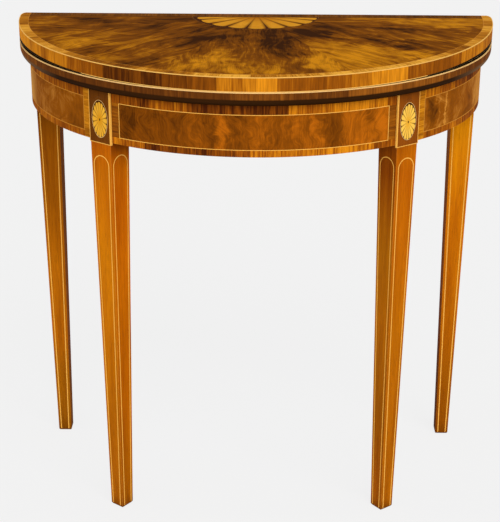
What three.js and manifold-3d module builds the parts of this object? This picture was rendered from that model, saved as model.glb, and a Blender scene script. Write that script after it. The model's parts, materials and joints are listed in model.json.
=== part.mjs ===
// Demi-lune card table: a folding half-round top on a curved frieze, two fixed front legs and
// two rear legs that swing out on gate rails to carry the opened leaf.
// Millimetres, +Z up. The origin is on the floor under the middle of the closed table.
// +X is to the right as seen from the round front, and +Y points to the straight back edge.
import * as THREE from "three";
import { mergeVertices } from "three/addons/utils/BufferGeometryUtils.js";
import Module from "manifold-3d";

const wasm = await Module();
wasm.setup();

const degree = Math.PI / 180;

// Top
const leaf_radius = 395;
const straight_return = 5;
const leaf_thickness = 22;
const front_gap = 0.3;
const ovolo_reach = 9;
const ovolo_height = 12;
const arris_ease = 1;
const baize_border = 26;
const baize_thickness = 0.8;
const fan_half_width = 106;
const fan_depth = 95;
const fan_hub_setback = 12;
const back_band_width = 20.5;
const inlay_thickness = 0.8;

// Frieze
const apron_bottom = 638;
const apron_height = 80;
const apron_overhang = 15.2;
const apron_thickness = 20;
const apron_end_setback = 6;

// Front legs
const front_leg_angle = 37.5;
const leg_width = 41;
const leg_foot_width = 25;
const leg_proud = 2.7;
const foot_chamfer = 1.5;
const foot_chamfer_height = 2.5;

// Tablets and their oval inlays
const tablet_width = 44;
const tablet_thickness = 3;
const tablet_drop = 3;
const patera_width = 33;
const patera_height = 64;
const patera_raise = 37.5;

// Rear legs
const rear_leg_inset = 24;
const rear_leg_width = 39;
const rear_leg_depth = 39;
const rear_leg_setback = 12;
const rear_leg_foot_width = 23;
const rear_leg_outer_taper = 10.5;
const rear_leg_head_width = 22;
const shoulder_clearance = 0.8;

// Gate rails and the fixed fly rail
const gate_rail_thickness = 22;
const gate_rail_bottom_gap = 7;
const gate_rail_length = 182;
const knuckle_count = 5;
const knuckle_gap = 0.5;
const knuckle_clearance = 1;
const knuckle_pin_radius = 3;
const gate_top_clearance = 0.6;
const gate_front_clearance = 1;

// Inner frame
const back_rail_thickness = 22;
const back_rail_bottom_gap = 4;
const brace_width = 40;
const brace_thickness = 22;
const brace_bottom_gap = 4;
const block_leg = 20;
const block_length = 45;
const block_angles = [-62, -15, 15, 62];
const back_block_place = 90;

// Joints in the frame
const tenon_length = 14;
const tenon_thickness = 8;
const tenon_shoulder = 12;
const stub_share = 1 / 3;
const end_overlap_angle = 0.5;

// Screws that hold the lower leaf
const leaf_screw_angles = [-52, -25, 25, 52];
const back_screw_place = 45;
const leaf_screw_bite = 13;
const leaf_screw_radius = 2.2;
const leaf_screw_head_radius = 4.4;
const leaf_screw_head_height = 3;
const leaf_screw_ledge = 34;
const pocket_width = 16;
const pocket_depth = 12;
const pocket_height = 22;

// Double-pin hinges of the top
const hinge_inset = 15;
const hinge_bar_width = 10;
const hinge_bar_length = 45;
const hinge_pin_inset = 6.5;
const hinge_pin_depth = 3.2;
const hinge_pin_radius = 1.4;
const hinge_link_length = 14.4;
const hinge_link_radius = 2.9;
const hinge_link_thickness = 2.6;
const hinge_slot_width = 3.4;
const hinge_slot_clearance = 0.6;
const hinge_screw_first = 20;
const hinge_screw_pitch = 12;
const hinge_screw_radius = 1.4;
const hinge_screw_head_radius = 2.8;
const hinge_screw_head_height = 2;
const hinge_screw_length = 14;

// Clearances
const seat = 0.3;
const bore_clearance = 0.3;
const overrun = 2;

// Facets: steps round half the top, round a knuckle, a screw, an oval and the rounded arris
const half_steps = 90;
const knuckle_steps = 32;
const screw_steps = 12;
const oval_steps = 48;
const ovolo_steps = 5;

// Places that follow from the sizes above
const table_depth = leaf_radius + straight_return;
const back_y = table_depth / 2;
const centre_y = back_y - straight_return;
const apron_top = apron_bottom + apron_height;
const leaf_top = apron_top + leaf_thickness;
const apron_radius = leaf_radius - apron_overhang;
const apron_inner = apron_radius - apron_thickness;
const leg_face = apron_radius + leg_proud;
const leg_inner = leg_face - leg_width;
const head_face = leg_face - tablet_thickness - seat;
const tablet_bottom = apron_bottom - tablet_drop;
const rear_leg_back = back_y - rear_leg_setback;
const rear_leg_front = rear_leg_back - rear_leg_depth;
const rear_leg_outer = leaf_radius - rear_leg_inset;
const rear_leg_inner = rear_leg_outer - rear_leg_width;
const rear_shoulder = apron_bottom - shoulder_clearance;
const gate_pivot = rear_leg_inner - gate_rail_length;
const gate_axis_y = rear_leg_front + gate_rail_thickness / 2;
const gate_top = apron_top - gate_top_clearance;
const gate_bottom = apron_bottom + gate_rail_bottom_gap;
const back_rail_back = rear_leg_front - gate_front_clearance;
const back_rail_front = back_rail_back - back_rail_thickness;
const back_rail_bottom = apron_bottom + back_rail_bottom_gap;
const brace_bottom = apron_bottom + brace_bottom_gap;
const tenon_bottom = apron_bottom + tenon_shoulder;
const tenon_top = apron_top - tenon_shoulder;
const stub_length = apron_thickness * stub_share;
const hinge_place = leaf_radius - hinge_inset;
const lower_pin_y = back_y - hinge_pin_inset;
const lower_pin_z = leaf_top - hinge_pin_depth;
const upper_pin_z = lower_pin_z + hinge_link_length;
const leaf_reach = table_depth - hinge_pin_inset;
const closing_drop = hinge_link_length - hinge_pin_depth - front_gap;
const leaf_tilt = Math.asin(closing_drop / Math.hypot(leaf_reach, hinge_pin_depth))
  - Math.atan2(hinge_pin_depth, leaf_reach);

// Materials
function finish(colour, roughness, metalness = 0) {
  return () => new THREE.MeshStandardMaterial({ color: colour, roughness, metalness });
}
const mahogany = finish("#7a4510", 0.32);
const crossbanded = finish("#8a5a15", 0.3);
const satinwood = finish("#c87a0a", 0.35);
const tablet_wood = finish("#6e3c0a", 0.32);
const boxwood = finish("#f0b840", 0.35);
const beech = finish("#b08a58", 0.7);
const pine = finish("#c29a63", 0.75);
const baize = finish("#2f5a3a", 0.95);
const brass = finish("#c9a03f", 0.35, 1);
const iron = finish("#55504a", 0.5, 1);

// Closed solids from three.js geometry, and back
function toSolid(geometry) {
  const bare = geometry.clone();
  bare.deleteAttribute("normal");
  bare.deleteAttribute("uv");
  const merged = mergeVertices(bare);
  const corners = merged.index.array;
  const triangles = [];
  for (let i = 0; i < corners.length; i += 3) {
    const [a, b, c] = corners.slice(i, i + 3);
    if (a !== b && b !== c && c !== a) triangles.push(a, b, c);
  }
  const vertProperties = Float32Array.from(merged.attributes.position.array);
  const triVerts = Uint32Array.from(triangles);
  return new wasm.Manifold(new wasm.Mesh({ numProp: 3, vertProperties, triVerts }));
}

function toGeometry(solid) {
  const mesh = solid.getMesh();
  const indexed = new THREE.BufferGeometry();
  indexed.setAttribute("position", new THREE.BufferAttribute(mesh.vertProperties, 3));
  indexed.setIndex(new THREE.BufferAttribute(mesh.triVerts, 1));
  const geometry = indexed.toNonIndexed();
  geometry.computeVertexNormals();
  return geometry;
}

function cut(body, ...tools) {
  return tools.reduce((rest, tool) => rest.subtract(tool), body);
}

function join(body, ...others) {
  return others.reduce((whole, other) => whole.add(other), body);
}

function box(x0, x1, y0, y1, z0, z1) {
  const geometry = new THREE.BoxGeometry(x1 - x0, y1 - y0, z1 - z0);
  geometry.translate((x0 + x1) / 2, (y0 + y1) / 2, (z0 + z1) / 2);
  return toSolid(geometry);
}

// The same box for either hand: side is 1 for the right and -1 for the left
function sidedBox(side, x0, x1, y0, y1, z0, z1) {
  return side > 0 ? box(x0, x1, y0, y1, z0, z1) : box(-x1, -x0, y0, y1, z0, z1);
}

// An upright cylinder at (x, y)
function post(radius, x, y, z0, z1, steps) {
  const geometry = new THREE.CylinderGeometry(radius, radius, z1 - z0, steps);
  geometry.rotateX(90 * degree);
  geometry.translate(x, y, (z0 + z1) / 2);
  return toSolid(geometry);
}

// A cylinder along X, centred on x
function crossPin(radius, length, x, y, z) {
  const geometry = new THREE.CylinderGeometry(radius, radius, length, screw_steps);
  geometry.rotateZ(90 * degree);
  geometry.translate(x, y, z);
  return toSolid(geometry);
}

function prism(points, z0, z1) {
  const shape = new THREE.Shape(points);
  const geometry = new THREE.ExtrudeGeometry(shape, { depth: z1 - z0, bevelEnabled: false });
  geometry.translate(0, 0, z0);
  return geometry;
}

function at(x, y) {
  return new THREE.Vector2(x, y);
}

// Points of an arc about the origin. Angles run from the front, positive to the right.
function arc(radius, from, to) {
  const steps = Math.max(1, Math.round(Math.abs(to - from) / 180 * half_steps));
  const start = (from - 90) * degree;
  const end = (to - 90) * degree;
  return new THREE.EllipseCurve(0, 0, radius, radius, start, end, to < from).getPoints(steps);
}

// Half-round outline about the centre of the sweep, closed by a straight edge at back
function halfRound(radius, back) {
  const trim = back < 0 ? Math.asin(back / radius) / degree : 0;
  const sweep = arc(radius, 90 + trim, -90 - trim);
  return back > 0 ? [...sweep, at(-radius, back), at(radius, back)] : sweep;
}

// Curved bar between two radii and two angles, drawn about the centre of the sweep
function curvedBar(inner, outer, from, to, z0, z1) {
  return toSolid(prism([...arc(outer, from, to), ...arc(inner, to, from)], z0, z1));
}

// A solid through a row of four-cornered sections, each {z, x0, x1, y0, y1}
function loft(sections) {
  const positions = [];
  for (const { z, x0, x1, y0, y1 } of sections) {
    positions.push(x0, y0, z, x1, y0, z, x1, y1, z, x0, y1, z);
  }
  const last = 4 * (sections.length - 1);
  const faces = [0, 2, 1, 0, 3, 2, last, last + 1, last + 2, last, last + 2, last + 3];
  for (let ring = 0; ring < last; ring += 4) {
    for (let side = 0; side < 4; side += 1) {
      const a = ring + side;
      const b = ring + (side + 1) % 4;
      faces.push(a, b, b + 4, a, b + 4, a + 4);
    }
  }
  const geometry = new THREE.BufferGeometry();
  geometry.setAttribute("position", new THREE.Float32BufferAttribute(positions, 3));
  geometry.setIndex(faces);
  return toSolid(geometry);
}

// A turned piece: the profile runs from the axis round to the axis, as [radius, height]
function turned(profile, steps) {
  const points = profile.map(([radius, height]) => at(radius, height));
  const geometry = new THREE.LatheGeometry(points, steps);
  geometry.rotateX(90 * degree);
  return geometry;
}

const table = new THREE.Group();

function group(parent, x, y, z) {
  const holder = new THREE.Group();
  holder.position.set(x, y, z);
  parent.add(holder);
  return holder;
}

function place(name, shape, material, parent) {
  const geometry = shape.isBufferGeometry ? shape : toGeometry(shape);
  const mesh = new THREE.Mesh(geometry, material());
  mesh.name = name;
  parent.add(mesh);
  return mesh;
}

const hands = [["left", -1], ["right", 1]];
const sweep_centre = group(table, 0, centre_y, 0);

// Leaves: both are drawn about the centre of the sweep, with their undersides at zero
function leafBoard() {
  return toSolid(prism(halfRound(leaf_radius, straight_return), 0, leaf_thickness));
}

// The cloth and its recess share one outline, the recess grown by a clearance
function baizeOutline(grow) {
  const radius = leaf_radius - baize_border + grow;
  return halfRound(radius, straight_return - baize_border + grow);
}

const recess_depth = baize_thickness + seat;

// Pocket for a hinge bar, about the pin: facing is 1 where the bar shows on the upper face
function barPocket(x, pin_y, pin_z, facing) {
  const half = hinge_bar_width / 2 + seat;
  const front = hinge_pin_inset - hinge_bar_length - seat;
  const deep = hinge_pin_depth + seat;
  const open = hinge_pin_depth + overrun;
  const low = facing > 0 ? -deep : -open;
  const high = facing > 0 ? open : deep;
  const back = hinge_pin_inset + overrun;
  return box(x - half, x + half, pin_y + front, pin_y + back, pin_z + low, pin_z + high);
}

function screwHolePlaces(pin_y) {
  return [0, 1].map((i) => pin_y + hinge_pin_inset - hinge_screw_first - i * hinge_screw_pitch);
}

// Pilot holes in the wood below a bar, as deep as the screws reach
function pilotHoles(x, pin_y, pin_z, facing) {
  const face = pin_z + facing * hinge_pin_depth;
  const tip = face - facing * (hinge_screw_length + seat);
  return screwHolePlaces(pin_y).map((y) => post(
    hinge_screw_radius + bore_clearance, x, y, Math.min(face, tip), Math.max(face, tip), screw_steps,
  ));
}

function hingeCuts(pin_y, pin_z, facing) {
  return hands.flatMap(([, side]) => [
    barPocket(side * hinge_place, pin_y, pin_z, facing),
    ...pilotHoles(side * hinge_place, pin_y, pin_z, facing),
  ]);
}

// Wedge that eases an arris along X, at the back corner (y, z) of a face looking up or down
function arrisWedge(y, z, facing) {
  const reach = arris_ease + overrun;
  const profile = [
    at(y - reach, z + facing * overrun),
    at(y + overrun, z - facing * reach),
    at(y + overrun, z + facing * overrun),
  ];
  const wedge = prism(profile, -leaf_radius - overrun, leaf_radius + overrun);
  wedge.rotateX(90 * degree);
  wedge.rotateZ(90 * degree);
  return toSolid(wedge);
}

// Ring that rounds the lower arris of the lower leaf to a quarter of an oval
function undercut() {
  const inner = leaf_radius - ovolo_reach;
  const outer = leaf_radius + overrun;
  const curve = [];
  for (let step = 0; step <= ovolo_steps; step += 1) {
    const angle = 90 * degree * step / ovolo_steps;
    curve.push([inner + ovolo_reach * Math.sin(angle), ovolo_height * (1 - Math.cos(angle))]);
  }
  const profile = [
    [inner, -overrun], ...curve, [outer, ovolo_height], [outer, -overrun], [inner, -overrun],
  ];
  return toSolid(turned(profile.reverse(), 2 * half_steps));
}

// Places of the screws that hold the lower leaf, about the centre of the sweep
function leafScrewPlaces() {
  const radius = apron_inner + pocket_depth / 2;
  const along = leaf_screw_angles.map((angle) => ({
    x: radius * Math.sin(angle * degree),
    y: -radius * Math.cos(angle * degree),
  }));
  const rail_y = back_rail_front + pocket_depth / 2 - centre_y;
  const behind = [-back_screw_place, back_screw_place].map((x) => ({ x, y: rail_y }));
  return [...along, ...behind];
}

function lowerLeaf() {
  const recess = toSolid(prism(
    baizeOutline(seat), leaf_thickness - recess_depth, leaf_thickness + overrun,
  ));
  const pilots = leafScrewPlaces().map(({ x, y }) => post(
    leaf_screw_radius + bore_clearance, x, y, -overrun, leaf_screw_bite + seat, screw_steps,
  ));
  const pin_y = straight_return - hinge_pin_inset;
  const pin_z = leaf_thickness - hinge_pin_depth;
  return cut(
    leafBoard(), undercut(), recess, ...pilots, ...hingeCuts(pin_y, pin_z, 1),
    arrisWedge(straight_return, leaf_thickness, 1),
  );
}

const lower_frame = group(sweep_centre, 0, 0, apron_top);
place("lower_leaf", lowerLeaf(), mahogany, lower_frame);
place("baize_lower", prism(
  baizeOutline(0), leaf_thickness - recess_depth + seat / 2, leaf_thickness - seat / 2,
), baize, lower_frame);

// Upper leaf: its frame turns about the upper hinge pins and leans forward onto the lower leaf
const upper_frame = group(table, 0, lower_pin_y, upper_pin_z);
upper_frame.rotation.x = leaf_tilt;
const upper_board = group(upper_frame, 0, hinge_pin_inset - straight_return, -hinge_pin_depth);

// The fan is part of an oval about a hub under the band along the straight edge, which cuts it
function fanOutline(grow) {
  const half_width = fan_half_width + grow;
  const depth = fan_depth + grow;
  const cut_off = back_band_width - fan_hub_setback - grow;
  const end = Math.acos(cut_off / depth);
  const points = [];
  for (let step = 0; step <= oval_steps; step += 1) {
    const angle = end * (1 - 2 * step / oval_steps);
    points.push(at(half_width * Math.sin(angle), -depth * Math.cos(angle)));
  }
  return points;
}

const fan_y = straight_return - fan_hub_setback;

function upperLeaf() {
  const recess = toSolid(prism(baizeOutline(seat), -overrun, recess_depth));
  const fan_floor = leaf_thickness - inlay_thickness - seat;
  const fan_pocket = prism(fanOutline(seat), fan_floor, leaf_thickness + overrun);
  fan_pocket.translate(0, fan_y, 0);
  const pin_y = straight_return - hinge_pin_inset;
  return cut(
    leafBoard(), recess, toSolid(fan_pocket), ...hingeCuts(pin_y, hinge_pin_depth, -1),
    arrisWedge(straight_return, 0, -1),
  );
}

const fan = prism(fanOutline(0), leaf_thickness - inlay_thickness, leaf_thickness);
fan.translate(0, fan_y, 0);
place("upper_leaf", upperLeaf(), crossbanded, upper_board);
place("fan_inlay", fan, boxwood, upper_board);
place("baize_upper", prism(
  baizeOutline(0), seat / 2, recess_depth - seat / 2,
), baize, upper_board);

// Hinges: bars let into the facing sides of the leaves, with a link on two pins between them
function screwProfile(grow) {
  const head = hinge_screw_head_radius + grow;
  const shank = hinge_screw_radius + grow;
  return [
    [0, 0], [head, 0], [shank, -hinge_screw_head_height],
    [shank, hinge_screw_radius - hinge_screw_length], [0, -hinge_screw_length],
  ];
}

function screwShape(grow, facing) {
  const geometry = turned(screwProfile(grow).reverse(), screw_steps);
  geometry.rotateX(facing > 0 ? 0 : 180 * degree);
  return geometry;
}

// The bar is drawn about its pin; the fork at its back end takes the link
function hingeBar(facing) {
  const half = hinge_bar_width / 2;
  const front = hinge_pin_inset - hinge_bar_length;
  const bar = box(-half, half, front, hinge_pin_inset, -hinge_pin_depth, hinge_pin_depth);
  const slot_front = -hinge_link_radius - hinge_slot_clearance;
  const slot_half = hinge_slot_width / 2;
  const past = hinge_pin_inset + overrun;
  const deep = hinge_pin_depth + overrun;
  const slot = box(-slot_half, slot_half, slot_front, past, -deep, deep);
  const hole = crossPin(hinge_pin_radius + bore_clearance, hinge_bar_width + overrun, 0, 0, 0);
  const sinks = screwHolePlaces(0).map((y) => {
    const sink = screwShape(bore_clearance, facing);
    sink.translate(0, y, facing * hinge_pin_depth);
    return toSolid(sink);
  });
  const wedge = arrisWedge(hinge_pin_inset, facing * hinge_pin_depth, facing);
  return cut(bar, slot, hole, wedge, ...sinks);
}

function hingeLink() {
  const low = new THREE.EllipseCurve(
    0, 0, hinge_link_radius, hinge_link_radius, 180 * degree, 360 * degree,
  ).getPoints(screw_steps);
  const high = new THREE.EllipseCurve(
    0, hinge_link_length, hinge_link_radius, hinge_link_radius, 0, 180 * degree,
  ).getPoints(screw_steps);
  const plate = prism([...low, ...high], -hinge_link_thickness / 2, hinge_link_thickness / 2);
  plate.rotateX(90 * degree);
  plate.rotateZ(90 * degree);
  const bore = hinge_pin_radius + bore_clearance;
  const length = hinge_link_thickness + overrun;
  return cut(
    toSolid(plate),
    crossPin(bore, length, 0, 0, 0),
    crossPin(bore, length, 0, 0, hinge_link_length),
  );
}

const pin_length = hinge_bar_width - seat;
const halves = [["lower", 1], ["upper", -1]];
for (const [hand, side] of hands) {
  const x = side * hinge_place;
  const frames = {
    lower: group(table, x, lower_pin_y, lower_pin_z),
    upper: group(upper_frame, x, 0, 0),
  };
  for (const [half, facing] of halves) {
    const frame = frames[half];
    place(`hinge_bar_${half}_${hand}`, hingeBar(facing), brass, frame);
    const pin = crossPin(hinge_pin_radius, pin_length, 0, 0, 0);
    place(`hinge_pin_${half}_${hand}`, pin, iron, frame);
    screwHolePlaces(0).forEach((y, i) => {
      const screw = screwShape(0, facing);
      const name = `hinge_screw_${half}_${hand}_${i + 1}`;
      place(name, toSolid(screw), brass, frame).position.set(0, y, facing * hinge_pin_depth);
    });
  }
  place(`hinge_link_${hand}`, hingeLink(), brass, frames.lower);
}

// Leg frame: its outward face looks along -Y, and it is turned about the centre of the sweep
function tenon(side, grow) {
  const middle = (apron_radius + apron_inner) / 2;
  const half = tenon_thickness / 2 + grow;
  const face = leg_width / 2;
  const start = face + seat + overrun;
  const end = face - tenon_length - grow;
  const low = tenon_bottom - grow;
  const high = tenon_top + grow;
  return sidedBox(side, end, start, -middle - half, -middle + half, low, high);
}

// The head is set back behind the tablet; the leg below it tapers on its two inner faces, so
// the arris between the outward face and the face towards the front stays upright
function frontLeg(side) {
  const arris = leg_width / 2;
  const sections = [
    [0, leg_foot_width, foot_chamfer],
    [foot_chamfer_height, leg_foot_width, 0],
    [tablet_bottom - seat, leg_width, 0],
  ].map(([z, width, inset]) => {
    const near = -side * arris;
    const far = -side * (arris - width);
    return {
      z,
      x0: Math.min(near, far) + inset,
      x1: Math.max(near, far) - inset,
      y0: -leg_face + inset,
      y1: -leg_face + width - inset,
    };
  });
  const head_bottom = tablet_bottom - seat - overrun;
  const head = box(-arris, arris, -head_face, -leg_inner, head_bottom, apron_top - seat);
  return cut(join(loft(sections), head), tenon(1, seat), tenon(-1, seat));
}

const patera_outline = (grow) => new THREE.EllipseCurve(
  0, 0, patera_width / 2 + grow, patera_height / 2 + grow, 0, 360 * degree,
).getPoints(oval_steps).slice(0, oval_steps);

// An oval plate that stands upright, its face looking along -Y
function patera(grow, thickness) {
  const geometry = prism(patera_outline(grow), 0, thickness);
  geometry.rotateX(90 * degree);
  return geometry;
}

function tablet() {
  const half = tablet_width / 2;
  const front = -leg_face - seat;
  const plate = box(-half, half, front, -head_face - seat, tablet_bottom, apron_top - seat);
  const pocket = patera(seat, inlay_thickness + seat + overrun);
  pocket.translate(0, -leg_face + inlay_thickness, apron_bottom + patera_raise);
  return cut(plate, toSolid(pocket));
}

for (const [hand, side] of hands) {
  const leg_frame = group(sweep_centre, 0, 0, 0);
  leg_frame.rotation.z = side * front_leg_angle * degree;
  place(`front_leg_${hand}`, frontLeg(side), satinwood, leg_frame);
  place(`tablet_${hand}`, tablet(), tablet_wood, leg_frame);
  const oval = patera(0, inlay_thickness);
  const oval_y = -leg_face - seat + inlay_thickness;
  place(`patera_${hand}`, oval, boxwood, leg_frame).position.set(
    0, oval_y, apron_bottom + patera_raise,
  );
}

// Frieze: curved rails cut to the sides of the front legs, with a tenon at each such end
function swung(solid, angle) {
  return solid.rotate([0, 0, angle]);
}

// Everything on the leg's side of a rail's end, in the turn of that leg
function beyondLeg(side, towards) {
  const near = -towards * (leg_width / 2 + seat);
  const far = towards * leaf_radius;
  const x0 = Math.min(near, far);
  const x1 = Math.max(near, far);
  const z0 = apron_bottom - overrun;
  const z1 = apron_top + overrun;
  return swung(box(x0, x1, -leaf_radius, 0, z0, z1), side * front_leg_angle);
}

// Pocket and upright hole for a leaf screw in a curved rail, at an angle from the front
function railPocket(angle) {
  const half = pocket_width / 2;
  const ledge = apron_top - leaf_screw_ledge;
  const face = apron_inner - overrun;
  const back = apron_inner + pocket_depth;
  const scoop = box(-half, half, -back, -face, ledge - pocket_height, ledge);
  const radius = apron_inner + pocket_depth / 2;
  const bore = leaf_screw_radius + bore_clearance;
  const hole = post(bore, 0, -radius, ledge - overrun, apron_top + overrun, screw_steps);
  return swung(join(scoop, hole), angle);
}

// Stub tenons at the ends of the back rail, let into the inner faces of the side rails
const back_tenon_reach = apron_inner + stub_length;

// Where the back rail's front corner meets the inside of the frieze
const back_rail_root = Math.sqrt(
  (apron_inner - seat) ** 2 - (back_rail_front - centre_y) ** 2,
);

function backRailTenon(side, grow) {
  const middle = (back_rail_front + back_rail_back) / 2 - centre_y;
  const half = tenon_thickness / 2 + grow;
  const low = tenon_bottom - grow;
  const high = tenon_top + grow;
  const start = back_rail_root - overrun;
  const end = back_tenon_reach + grow;
  return sidedBox(side, start, end, middle - half, middle + half, low, high);
}

// Stub tenon of the medial brace in the front rail
function braceTenon(grow) {
  const half = tenon_thickness + grow;
  const start = -apron_inner + overrun;
  const end = -apron_inner - stub_length - grow;
  const middle = brace_bottom + brace_thickness / 2;
  const rise = tenon_thickness / 2 + grow;
  return box(-half, half, end, start, middle - rise, middle + rise);
}

function frontRail() {
  const past_leg = front_leg_angle + end_overlap_angle;
  const bar = curvedBar(apron_inner, apron_radius, -past_leg, past_leg, apron_bottom, apron_top);
  const trimmed = cut(bar, beyondLeg(1, 1), beyondLeg(-1, -1));
  const ends = [1, -1].map((side) => swung(tenon(-side, 0), side * front_leg_angle));
  const pockets = leaf_screw_angles.filter((angle) => Math.abs(angle) < front_leg_angle);
  return cut(join(trimmed, ...ends), braceTenon(seat), ...pockets.map(railPocket));
}

// Each side rail runs from a front leg to its end near the back edge
function sideRail(side) {
  const start = side * (front_leg_angle - end_overlap_angle);
  const end_y = straight_return - apron_end_setback;
  const end = side * (90 + Math.asin(end_y / apron_inner) / degree);
  const bar = curvedBar(apron_inner, apron_radius, start, end, apron_bottom, apron_top);
  const trimmed = cut(bar, beyondLeg(side, -side));
  const joined = join(trimmed, swung(tenon(side, 0), side * front_leg_angle));
  const pockets = leaf_screw_angles.filter((angle) => angle * side > front_leg_angle);
  return cut(joined, backRailTenon(side, seat), ...pockets.map(railPocket));
}

place("apron_front", frontRail(), mahogany, sweep_centre);
for (const [hand, side] of hands) {
  place(`apron_${hand}`, sideRail(side), mahogany, sweep_centre);
}

// Back rail, cut to the sweep at both ends
function backRail() {
  const y0 = back_rail_front - centre_y;
  const y1 = back_rail_back - centre_y;
  const low = back_rail_bottom;
  const long = box(-leaf_radius, leaf_radius, y0, y1, low, apron_top - seat);
  const inside = toSolid(prism(halfRound(apron_inner - seat, straight_return), low, apron_top));
  const rail = join(long.intersect(inside), backRailTenon(1, 0), backRailTenon(-1, 0));
  const ledge = apron_top - leaf_screw_ledge;
  const scoops = [-back_screw_place, back_screw_place].flatMap((x) => {
    const half = pocket_width / 2;
    const scoop = box(
      x - half, x + half, y0 - overrun, y0 + pocket_depth, ledge - pocket_height, ledge,
    );
    const bore = leaf_screw_radius + bore_clearance;
    const hole_y = y0 + pocket_depth / 2;
    return [scoop, post(bore, x, hole_y, ledge - overrun, apron_top + overrun, screw_steps)];
  });
  const half = tenon_thickness + seat;
  const middle = brace_bottom + brace_thickness / 2;
  const rise = tenon_thickness / 2 + seat;
  const brace_mortise = box(
    -half, half, y0 - overrun, y0 + stub_length + seat, middle - rise, middle + rise,
  );
  return cut(rail, ...scoops, brace_mortise);
}
place("inner_back_rail", backRail(), pine, sweep_centre);

// Medial brace between the front rail and the back rail, with a stub tenon at each end
function medialBrace() {
  const half = brace_width / 2;
  const y1 = back_rail_front - centre_y;
  const top = brace_bottom + brace_thickness;
  const long = box(-half, half, -leaf_radius, y1 - seat, brace_bottom, top);
  const inside = prism(halfRound(apron_inner - seat, straight_return), brace_bottom, top);
  const width = tenon_thickness;
  const middle = brace_bottom + brace_thickness / 2;
  const rise = tenon_thickness / 2;
  const back_tenon = box(
    -width, width, y1 - seat - overrun, y1 + stub_length, middle - rise, middle + rise,
  );
  return join(long.intersect(toSolid(inside)), braceTenon(0), back_tenon);
}
place("medial_brace", medialBrace(), pine, sweep_centre);

// Glue blocks: triangular blocks in the corner between a rail and the underside of the leaf
function glueBlock() {
  const profile = [at(0, 0), at(-block_leg, 0), at(0, -block_leg)];
  const geometry = prism(profile, -block_length / 2, block_length / 2);
  geometry.rotateX(90 * degree);
  geometry.rotateZ(-90 * degree);
  return geometry;
}

// A flat block touches a round rail at its two ends, so it stands off by the rise of the sweep
const block_rise = apron_inner - Math.sqrt(apron_inner ** 2 - (block_length / 2) ** 2);
const block_face = apron_inner - block_rise - seat;
block_angles.forEach((angle, i) => {
  const turn_frame = group(sweep_centre, 0, 0, 0);
  turn_frame.rotation.z = angle * degree;
  const block = place(`glue_block_${i + 1}`, glueBlock(), pine, turn_frame);
  block.position.set(0, -block_face, apron_top - seat);
});
[-back_block_place, back_block_place].forEach((x, i) => {
  const block = place(`glue_block_back_${i + 1}`, glueBlock(), pine, table);
  block.rotation.z = 180 * degree;
  block.position.set(x, back_rail_front - seat, apron_top - seat);
});

// Leaf screws: heads in the pockets, shanks up through the rails into the lower leaf
const ledge_z = apron_top - leaf_screw_ledge;
const screw_reach = leaf_screw_ledge + leaf_screw_bite;
const leaf_screw = turned([
  [0, -leaf_screw_head_height - seat],
  [leaf_screw_head_radius, -leaf_screw_head_height - seat],
  [leaf_screw_head_radius, -seat],
  [leaf_screw_radius, -seat],
  [leaf_screw_radius, screw_reach - leaf_screw_radius],
  [0, screw_reach],
], screw_steps);
leafScrewPlaces().forEach(({ x, y }, i) => {
  const screw = place(`leaf_screw_${i + 1}`, toSolid(leaf_screw), iron, sweep_centre);
  screw.position.set(x, y, ledge_z);
});

// Knuckle joint: fingers of the fixed rail and of the gate rail share one upright pin
const knuckle_radius = gate_rail_thickness / 2;
const knuckle_step = (gate_top - gate_bottom) / knuckle_count;
const knuckle_reach = knuckle_radius + knuckle_clearance;

// Fingers at every second level, with the neck that ties them to the rail towards away
function fingers(first, x, away) {
  const parts = [];
  for (let level = first; level < knuckle_count; level += 2) {
    const low = gate_bottom + level * knuckle_step + (level > 0 ? knuckle_gap / 2 : 0);
    const last = level === knuckle_count - 1;
    const high = gate_bottom + (level + 1) * knuckle_step - (last ? 0 : knuckle_gap / 2);
    const end = x + away * (knuckle_reach + overrun);
    const x0 = Math.min(x, end);
    const x1 = Math.max(x, end);
    parts.push(post(knuckle_radius, x, gate_axis_y, low, high, knuckle_steps));
    parts.push(box(x0, x1, gate_axis_y - knuckle_radius, gate_axis_y + knuckle_radius, low, high));
  }
  return parts;
}

function pinHole(x) {
  const bore = knuckle_pin_radius + bore_clearance;
  return post(bore, x, gate_axis_y, gate_bottom - overrun, gate_top + overrun, knuckle_steps);
}

function flyRail() {
  const half = gate_pivot - knuckle_reach;
  const y1 = gate_axis_y + knuckle_radius;
  const rail = box(-half, half, back_rail_back, y1, gate_bottom, gate_top);
  const left = fingers(0, -gate_pivot, 1);
  const right = fingers(0, gate_pivot, -1);
  return cut(join(rail, ...left, ...right), pinHole(-gate_pivot), pinHole(gate_pivot));
}
place("fly_rail_centre", flyRail(), beech, table);

// Gate rail tenon in the head of the rear leg
function gateTenon(side, grow) {
  const half = tenon_thickness / 2 + grow;
  const start = rear_leg_inner - seat - overrun;
  const end = rear_leg_inner + tenon_length + grow;
  const low = tenon_bottom - grow;
  const high = tenon_top + grow;
  return sidedBox(side, start, end, gate_axis_y - half, gate_axis_y + half, low, high);
}

function gateRail(side) {
  const start = gate_pivot + knuckle_reach;
  const end = rear_leg_inner - seat;
  const y0 = gate_axis_y - knuckle_radius;
  const y1 = gate_axis_y + knuckle_radius;
  const rail = sidedBox(side, start, end, y0, y1, gate_bottom, gate_top);
  const knuckles = fingers(1, side * gate_pivot, side);
  return cut(join(rail, ...knuckles, gateTenon(side, 0)), pinHole(side * gate_pivot));
}

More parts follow.
